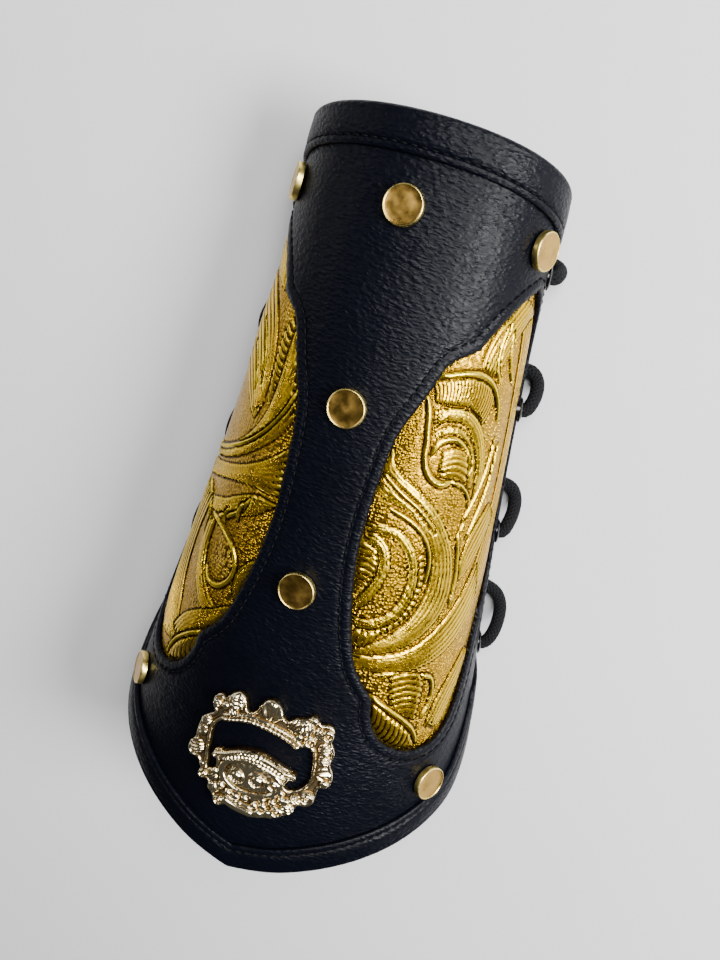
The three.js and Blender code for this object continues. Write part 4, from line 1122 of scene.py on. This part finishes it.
def band_section(width):
    """The folded band's section as (past the rim, lift), from the outer hem round to the inner one."""
    top = GAP + BAND
    ridge = BAND_STITCH_INSET
    outer = [(-width, GAP), (-width, top - 0.45), (-width + 0.25, top - 0.1), (-width + 0.6, top)]
    for past in np.linspace(-width + 0.9, -width + ridge - 0.5, 5):
        outer.append((past, top + 0.12))
    outer += [(-width + ridge - 0.25, top - 0.15), (-width + ridge, top - 0.5),
              (-width + ridge + 0.3, top - 0.15)]
    for share in np.linspace(0, 1, 14):
        past = -width + ridge + 0.7 + share * (width - ridge - 0.7 + top - 1.6)
        puff = 0.22 * math.sin(math.pi * min(1, share * 1.2)) ** 0.5 * (1 - share) ** 0.3
        outer.append((past, top + puff))
    bottom = -LEATHER - GAP - BAND
    middle = (top + bottom) / 2
    half = (top - bottom) / 2
    for angle in np.linspace(80, -80, 9):
        bulge = math.cos(math.radians(angle)) ** 0.75
        outer.append((top - 1.6 + 1.6 * bulge, middle + half * math.sin(math.radians(angle))))
    outer += [(top - 1.7, bottom), (-width * 0.5, bottom), (-width, bottom)]
    inner = [(-width, -LEATHER - GAP), (GAP, -LEATHER - GAP), (GAP, GAP)]
    return outer + inner


def add_band(name, node, rim, width, outward):
    turns = np.linspace(-1, 1, BAND_COLUMNS)
    reach = band_reach(rim, turns, 1)
    section = band_section(width)
    rings = np.stack([skin(rim(turns) + outward * past * reach, turns, lift)
                      for past, lift in section], 1)
    count = len(section)
    faces = []
    for c in range(BAND_COLUMNS - 1):
        for i in range(count):
            j = (i + 1) % count
            quad = (c * count + i, (c + 1) * count + i, (c + 1) * count + j, c * count + j)
            faces.append(quad if outward > 0 else quad[::-1])
    piece = mesh_piece(name, rings.reshape(-1, 3), faces)
    pick(piece)
    bpy.ops.object.mode_set(mode="EDIT")
    bpy.ops.mesh.select_all(action="DESELECT")
    bpy.ops.mesh.select_non_manifold()
    bpy.ops.mesh.edge_face_add()
    bpy.ops.mesh.select_all(action="SELECT")
    bpy.ops.mesh.normals_make_consistent(inside=False)
    bpy.ops.object.mode_set(mode="OBJECT")
    bpy.ops.object.shade_smooth_by_angle(angle=math.radians(40))
    finish_piece(piece, "leather", "leather", node)
    along = rim(turns) - outward * (width - BAND_STITCH_INSET) * reach
    stitch_row(name + "_stitches", np.stack([along, turns], -1), GAP + BAND - 0.25)


# Fittings
def add_rivets():
    radius = RIVET_RADIUS
    top = GAP + RIVET_HEIGHT
    tail = -LEATHER - GAP - 0.25
    profile = [
        (0, tail - 1), (RIVET_TAIL_RADIUS - 0.3, tail - 1), (RIVET_TAIL_RADIUS, tail - 0.7),
        (RIVET_TAIL_RADIUS, tail - 0.2), (RIVET_TAIL_RADIUS - 0.2, tail), (1.6, tail), (1.6, GAP),
        (radius - 0.25, GAP), (radius, GAP + 0.25), (radius, top - 0.9), (radius - 0.05, top - 0.45),
        (radius - 0.14, top - 0.16), (radius - 0.26, top - 0.03), (radius - 0.38, top),
        (radius - 0.5, top - 0.05), (radius - 0.62, top - 0.15), (radius - 0.8, top - 0.2),
        (radius * 0.55, top - 0.14), (radius * 0.25, top - 0.08), (0, top - 0.06),
    ]
    places = {
        "rivet_wrist_centre": (CENTRE_RIVETS[0] / LENGTH, 0),
        "rivet_middle": (CENTRE_RIVETS[1] / LENGTH, 0),
        "rivet_lower": (CENTRE_RIVETS[2] / LENGTH, 0),
    }
    for side, sign in (("right", 1), ("left", -1)):
        wrist, elbow = WRIST_CORNER_RIVET, ELBOW_CORNER_RIVET
        places["rivet_wrist_" + side] = (wrist["from_wrist"] / LENGTH, sign * wrist["turn"])
        places["rivet_elbow_" + side] = (1 - elbow["from_elbow"] / LENGTH, sign * elbow["turn"])
    for node, (along, turn) in places.items():
        cap = turn_profile(node + "_cap", profile, 48)
        distance = np.array([math.hypot(v.co.x, v.co.y) / MM for v in cap.data.vertices])
        height = np.array([v.co.z / MM for v in cap.data.vertices])
        # Painted highlight: a thin ring at the cap's rolled rim is marked for a bright colour.
        store(cap, "rim", np.clip((distance - (radius - 0.62)) / 0.2, 0, 1) * (height > GAP))
        seat(cap, along, turn)
        finish_piece(cap, "brass", "rivet", node)


def add_eyelets():
    hole = CORD_RADIUS + GAP
    wall = hole + EYELET_WALL
    flange = EYELET_FLANGE_RADIUS
    top = GAP + 0.8
    lip = -LEATHER - GAP - PANEL - GAP - 0.25
    profile = [
        (hole, lip - 0.6), (hole + 0.3, lip - 0.8), (flange - 0.3, lip - 0.8), (flange, lip - 0.5),
        (flange - 0.1, lip - 0.1), (flange - 0.3, lip), (wall, lip), (wall, GAP), (flange - 0.2, GAP),
        (flange, GAP + 0.2), (flange - 0.2, GAP + 0.5), (flange - 0.7, top - 0.08), (wall, top),
        (hole + 0.2, top - 0.1), (hole, top - 0.4), (hole, lip - 0.6),
    ]
    for i, (along, turn) in enumerate(eyelet_places()):
        for side, sign in (("right", 1), ("left", -1)):
            ring = turn_profile(f"eyelet_{side}_{i + 1}_ring", profile, 32)
            seat(ring, along, sign * turn)
            finish_piece(ring, "enamel", "eyelet", f"eyelet_{side}_{i + 1}")


# Cast ornament: a cartouche of lobes round an open window, with an oval boss under a beaded coronet,
# in flat millimetres from its centre, x to the right and y to the wrist. Its posts stand far enough
# apart to be hidden by the plate.
ORNAMENT_FROM_ELBOW = 46
ORNAMENT_ALONG = 1 - ORNAMENT_FROM_ELBOW / LENGTH
ORNAMENT_RATE = np.linalg.norm(face(ORNAMENT_ALONG, 0) - face(ORNAMENT_ALONG, 0.1)) * 10
ORNAMENT_OFFSET = 1.6
ORNAMENT_TURN = math.radians(3)
ORNAMENT_POST_SPACING = 41.4
ORNAMENT_POST_RISE = -1
ORNAMENT_CELL = 0.27
ORNAMENT_HALF = (25.5, 23)
PLATE = 1.3
ORNAMENT_RIM = [
    (-18.0, 9.5), (-19.2, 11.9), (-19.3, 14.3), (-18.1, 16.2), (-16.3, 16.6), (-15.1, 16.0),
    (-13.8, 17.7), (-12.1, 19.4), (-10.1, 20.1), (-8.3, 19.3), (-7.1, 17.4), (-6.6, 15.3),
    (-5.0, 14.8), (-3.4, 16.1), (-2.3, 18.5), (-1.0, 20.4), (0.7, 21.6), (2.6, 21.7), (4.2, 20.5),
    (5.5, 18.4), (6.5, 16.2), (8.2, 16.1), (9.8, 17.4), (12.3, 17.8), (14.2, 18.5), (15.3, 19.7),
    (16.9, 19.7), (17.9, 18.3), (18.9, 17.0), (21.0, 17.2), (23.2, 16.2), (23.8, 13.4), (23.1, 11.1),
    (24.1, 9.0), (24.6, 6.9), (24.0, 4.6), (23.8, 2.4), (25.0, -0.6), (24.9, -3.6), (24.0, -5.4),
    (21.3, -6.3), (20.6, -8.3), (20.1, -11.3), (18.9, -13.6), (17.1, -14.2), (15.3, -14.1),
    (14.1, -16.4), (12.5, -18.5), (10.9, -19.5), (9.0, -20.2), (7.5, -21.6), (5.7, -21.8),
    (3.9, -22.5), (1.2, -23.2), (-1.8, -23.3), (-4.7, -22.6), (-6.8, -21.7), (-8.5, -22.8),
    (-10.4, -23.1), (-11.9, -21.5), (-13.2, -19.9), (-14.6, -18.1), (-15.2, -16.0), (-17.2, -16.0),
    (-18.7, -14.7), (-18.8, -12.0), (-20.4, -9.9), (-23.0, -10.0), (-24.7, -8.6), (-24.7, -5.8),
    (-22.9, -2.7), (-22.9, 0.2), (-22.4, 3.9), (-20.8, 6.9),
]
LOBES = [
    ("scales", -17.3, 13.2, 1.9, 1.5), ("scales", -10.6, 16.4, 3.1, 2.0),
    ("bead", -14.0, 13.8, 1.4, 1.4), ("leaf", -11.2, 12.6, 1.8, 1.1), ("leaf", -20.2, 5.2, 2.2, 1.3),
    ("leaf", -20.7, 1.0, 2.0, 1.2), ("leaf", -21.7, -5.6, 3.0, 1.5), ("bead", -18.0, -10.8, 1.2, 1.0),
    ("ring", -17.0, -14.0, 1.7, 1.4), ("flutes", 2.2, 18.0, 4.0, 1.9), ("leaf", 10.2, 14.7, 2.5, 1.5),
    ("scales", 14.0, 14.8, 2.9, 1.8), ("bead", 16.3, 18.1, 1.5, 1.4), ("ring", 15.9, 10.6, 2.1, 1.5),
    ("bead", 12.3, 11.3, 1.4, 1.2), ("leaf", 18.6, 13.6, 2.1, 1.5), ("ring", 21.4, 13.8, 2.2, 1.7),
    ("leaf", 21.2, 8.4, 2.4, 1.4), ("leaf", 21.4, 4.2, 2.3, 1.5), ("flutes", 22.0, -1.0, 2.9, 0.9),
    ("bead", 22.4, -4.4, 1.6, 1.3), ("scroll", 17.6, -10.6, 2.8, 1.7), ("leaf", 14.4, -12.2, 2.2, 1.3),
    ("scales", 12.0, -16.2, 2.4, 1.5), ("ring", 8.9, -18.0, 2.1, 1.5), ("bead", 6.2, -19.6, 1.7, 1.4),
    ("bead", 3.2, -20.8, 1.7, 1.2), ("bead", 9.9, -13.4, 1.4, 1.2), ("ring", -9.9, -21.0, 1.9, 1.4),
    ("scales", -12.6, -17.4, 2.2, 1.3), ("leaf", -13.6, -13.6, 1.9, 1.1),
]
OPENING = [
    (-16.3, -11.1), (-16.7, -7.9), (-17.1, -3.4), (-17.4, 1.1), (-16.8, 4.8), (-14.3, 7.9),
    (-12.6, 8.2), (-9.8, 9.3), (-5.3, 10.5), (-1.5, 10.6), (2.3, 10.2), (6.5, 9.3), (9.5, 8.0),
    (11.6, 6.6), (12.9, 7.3), (14.7, 8.0), (16.9, 7.2), (17.6, 3.9), (17.8, -0.5), (17.6, -3.9),
    (15.8, -6.7), (13.7, -8.5), (11.1, -9.0), (10.1, -7.6), (11.2, -5.6), (13.2, -4.1), (13.4, -2.4),
    (10.7, -1.4), (8.4, -0.5), (4.9, 1.0), (1.5, 2.0), (-2.6, 2.0), (-6.5, 0.8), (-10.0, -1.2),
    (-12.4, -2.2), (-14.2, -2.6), (-14.8, -4.4), (-13.5, -7.0), (-13.3, -9.8), (-14.6, -10.8),
]
CORONET = [
    (-13.6, -4.4), (-9.6, -3.2), (-5.7, -1.3), (-1.0, -0.3), (4.5, -1.3), (9.0, -3.2), (12.4, -3.2),
]
UPPER_RIM = [
    (-13.4, 8.8), (-9.4, 10.3), (-5.5, 11.5), (-1.7, 11.6), (2.5, 11.2), (6.6, 10.2), (9.8, 8.9),
    (11.8, 7.5),
]
FOOT = [(-7.8, -20.2), (-4.2, -21.2), (0.6, -21.7)]
BOSS = {"x": -1.1, "y": -8.6, "half_width": 10.4, "half_height": 6.2, "tilt": 0.03}
GEMS = [(-5.6, -8.9, 2.5), (1.3, -8.2, 2.7), (6.7, -8.3, 1.7)]
GRAPES = [
    (-9.8, -12.6, 1.3), (-10.2, -15.2, 1.4), (-7.4, -16.8, 1.3), (-4.6, -17.0, 1.4),
    (-1.6, -16.6, 1.3), (1.2, -15.4, 1.4), (3.8, -15.0, 1.3), (1.6, -18.0, 1.3), (4.4, -17.4, 1.4),
    (7.0, -12.6, 1.3), (9.4, -10.9, 1.2), (7.2, -15.2, 1.3), (11.4, -13.4, 1.2), (-13.0, -11.0, 1.2),
    (-7.0, -14.4, 1.1),
]


def ornament_place(x, y, lift):
    across = x * math.cos(ORNAMENT_TURN) - y * math.sin(ORNAMENT_TURN) + ORNAMENT_OFFSET
    up = x * math.sin(ORNAMENT_TURN) + y * math.cos(ORNAMENT_TURN)
    return skin(ORNAMENT_ALONG - up / LENGTH, across / ORNAMENT_RATE, lift)


def lobe_relief(kind, u, v):
    """Height of a lobe over its own disc, from 0 at its edge to about 1."""
    rho = np.hypot(u, v)
    dome = np.maximum(0, 1 - rho**4) ** 0.6
    if kind == "leaf":
        return dome * (0.72 + 0.28 * np.cos(4 * math.pi * np.abs(u) * (1.2 - 0.4 * v)) * (1 - 0.3 * v))
    if kind == "flutes":
        return dome * (0.74 + 0.26 * np.cos(9 * np.arctan2(u, v + 1.25)))
    if kind == "scales":
        return dome * (0.8 + 0.2 * np.cos(2.6 * math.pi * (u + 0.5 * v)) * np.cos(2.2 * math.pi * v))
    if kind == "ring":
        ring = np.sqrt(np.maximum(0, 1 - ((rho - 0.68) / 0.32) ** 2))
        return np.maximum(ring, 0.8 * np.sqrt(np.maximum(0, 1 - (rho / 0.34) ** 2)))
    if kind == "scroll":
        return dome * (0.72 + 0.28 * np.cos(np.arctan2(u, v) - 2.6 * math.pi * rho))
    return dome


def rounded(distance, radius):
    return np.sqrt(np.maximum(0, 1 - (distance / radius) ** 2))


def ornament_lift(x, y, depth, rim):
    """Lift of the casting's face, each feature standing over what lies below it."""
    flat = on_plane(np.stack([x, y], -1))
    face_lift = GAP + PLATE

    def away_from(line):
        return nearest(on_plane(line), flat)[0]

    to_rim = away_from(rim)
    edge = np.clip(np.minimum(to_rim, depth) / 0.8, 0, 1)
    z = GAP + 0.5 + (PLATE - 0.5) * np.sqrt(1 - (1 - edge) ** 2)

    def raise_to(z, shape, height):
        return np.where(shape > 0, np.maximum(z, height), z)

    lip = rounded(to_rim - 0.55, 0.5)
    z = raise_to(z, lip, face_lift + 0.1 + 0.6 * lip)
    bar = rounded(depth - 0.6, 0.6)
    z = raise_to(z, bar * (depth < 1.2), face_lift + 0.8 * bar)
    for kind, cx, cy, radius, rise in LOBES:
        out = math.atan2(cx, cy)
        u = ((x - cx) * math.cos(out) - (y - cy) * math.sin(out)) / radius
        v = ((x - cx) * math.sin(out) + (y - cy) * math.cos(out)) / radius
        shape = lobe_relief(kind, u, v)
        z = raise_to(z, shape, face_lift - 0.2 + (rise + 0.5) * shape)

    def along_line(z, line, offset, radius, pitch, height):
        path = spline(line, 12)
        tangent = unit(np.gradient(path, axis=0))
        path = evenly(path + offset * np.stack([-tangent[:, 1], tangent[:, 0]], -1), pitch)
        shape = rounded(away_from(path), radius)
        return raise_to(z, shape, height + radius * shape)

    z = along_line(z, FOOT, 0, 1.5, 0.2, face_lift)
    z = along_line(z, FOOT, 2.1, 0.45, 0.2, face_lift + 0.5)
    off_x, off_y, cos, sin = x - BOSS["x"], y - BOSS["y"], math.cos(BOSS["tilt"]), math.sin(BOSS["tilt"])
    u = (off_x * cos + off_y * sin) / BOSS["half_width"]
    v = (off_y * cos - off_x * sin) / BOSS["half_height"]
    rho = np.hypot(u, v)
    ripple = 0.14 * np.cos(22 * np.arctan2(v, u)) * np.clip(rho * 2 - 0.8, 0, 1)
    z = np.where(rho < 1, face_lift + 1.4 * (1 - rho**2) + ripple, z)
    lip = rounded(rho - 0.94, 0.11)
    z = raise_to(z, lip, face_lift + 0.7 + 0.9 * lip)
    for cx, cy, radius in GRAPES:
        shape = rounded(np.hypot(x - cx, y - cy), radius)
        z = raise_to(z, shape, face_lift + 0.3 + radius * shape)
    for cx, cy, radius in GEMS:
        gone = np.hypot(x - cx, (y - cy) * 1.12)
        z = np.where(gone < radius, face_lift + 0.5, z)
        shape = rounded(gone, radius - 0.5)
        z = raise_to(z, shape, face_lift + 0.5 + 0.7 * radius * shape)
        ring = rounded(gone - radius, 0.42)
        z = raise_to(z, ring, face_lift + 1.5 + 0.5 * ring)
    z = along_line(z, UPPER_RIM, 0, 0.72, 1.45, face_lift + 0.5)
    z = along_line(z, UPPER_RIM, 1.7, 0.5, 0.2, face_lift + 0.7)
    arch = evenly(spline(CORONET, 12), 0.2)
    half = 1.95 * np.sin(math.pi * np.linspace(0.1, 0.9, len(arch))) ** 0.6
    gone, index = nearest(on_plane(arch), flat)
    inner = gone < half[index]
    z = np.where(inner, np.maximum(z, face_lift + 1.2), z)
    brim = rounded(gone - half[index] + 0.3, 0.36)
    z = raise_to(z, brim, face_lift + 1.5 + 0.7 * brim)
    for offset in (0.62, -0.62):
        z = along_line(z, CORONET[1:-1], offset, 0.52, 1.25, face_lift + 1.4)
    return z


def add_ornament():
    half_width, half_height = ORNAMENT_HALF
    grid_x, grid_y = np.meshgrid(np.arange(-half_width, half_width, ORNAMENT_CELL),
                                 np.arange(half_height, -half_height, -ORNAMENT_CELL))
    opening = evenly(spline(OPENING, 10, closed=True), 0.2, closed=True)
    rim = evenly(spline(ORNAMENT_RIM, 6, closed=True), 0.2, closed=True)
    lifts = {}

    def lift_of(x, y, depth):
        lifts["face"] = ornament_lift(x, y, np.maximum(depth, 0), rim)
        return lifts["face"]

    plate, _, _, _ = cut_sheet("ornament_cast", grid_x, grid_y, ornament_place, [opening], [rim],
                               lift_of, GAP)
    lift = np.tile(lifts["face"], 2)
    # Height of the face, less three times its hollows: patina and painted shade darken the recesses.
    store(plate, "height_with_hollow_shade", 0.5 + 0.3 * np.clip(lift - GAP - PLATE - 0.6, -1, 1) - 3 * hollows(plate, lift, 3))
    end = -LEATHER - GAP - 1
    profile = [(0, end), (2.8, end), (3, end + 0.2), (3, end + 0.8), (1.4, end + 0.9), (1.4, GAP), (0, GAP)]
    tails = []
    for side in (-1, 1):
        tail = turn_profile("ornament_tail", profile, 32)
        store(tail, "height_with_hollow_shade", np.ones(len(tail.data.vertices)))
        reach = side * ORNAMENT_POST_SPACING / 2
        up = reach * math.sin(ORNAMENT_TURN) + ORNAMENT_POST_RISE
        across = reach * math.cos(ORNAMENT_TURN) + ORNAMENT_OFFSET
        seat(tail, ORNAMENT_ALONG - up / LENGTH, across / ORNAMENT_RATE)
        tails.append(tail)
    finish_piece(join_pieces("ornament_cast", [plate] + tails), "plate", "ornament", "ornament")


add_lace()
add_shell()
add_ornament()
for side, name in ((1, "right"), (-1, "left")):
    stitch_row(f"window_stitches_{name}", window_stitch_path(side), -0.1)
add_band("wrist_band_leather", "wrist_band", wrist_rim, WRIST_BAND_WIDTH, -1)
add_band("elbow_band_leather", "elbow_band", elbow_rim, ELBOW_BAND_WIDTH, 1)
add_rivets()
add_eyelets()
add_panel("gilt_panel_right", "gold_panel_right", 1, RIGHT_PATTERN)
add_panel("gilt_panel_left", "gold_panel_left", -1, LEFT_PATTERN)


# Stage
def add_stage():
    bpy.ops.mesh.primitive_plane_add(size=9, location=(0, 0, 0))
    floor = bpy.context.object
    floor.name = "ground"
    floor.data.materials.append(MATERIALS["ground"])
    world = bpy.context.scene.world or bpy.data.worlds.new("studio")
    bpy.context.scene.world = world
    world.use_nodes = True
    background = world.node_tree.nodes["Background"]
    background.inputs["Color"].default_value = linear("#f0f0ee")
    background.inputs["Strength"].default_value = 0.08
    # Each lamp's place and width in metres, and its power in watts
    lamps = [
        ("window", (0.75, 0.2, 0.6), 0.35, 20.0),
        ("sky", (0.4, 0.9, 1.3), 0.8, 32.0),
        ("bounce", (-1.2, 0.4, 0.7), 0.5, 2.4),
    ]
    for name, place, size, power in lamps:
        data = bpy.data.lights.new(name, "AREA")
        data.size = size
        data.energy = power
        lamp = bpy.data.objects.new(name, data)
        lamp.location = place
        lamp.rotation_euler = (Vector((0, 0, 0.03)) - Vector(place)).to_track_quat("-Z", "Y").to_euler()
        bpy.context.scene.collection.objects.link(lamp)


clear_selection()
add_stage()
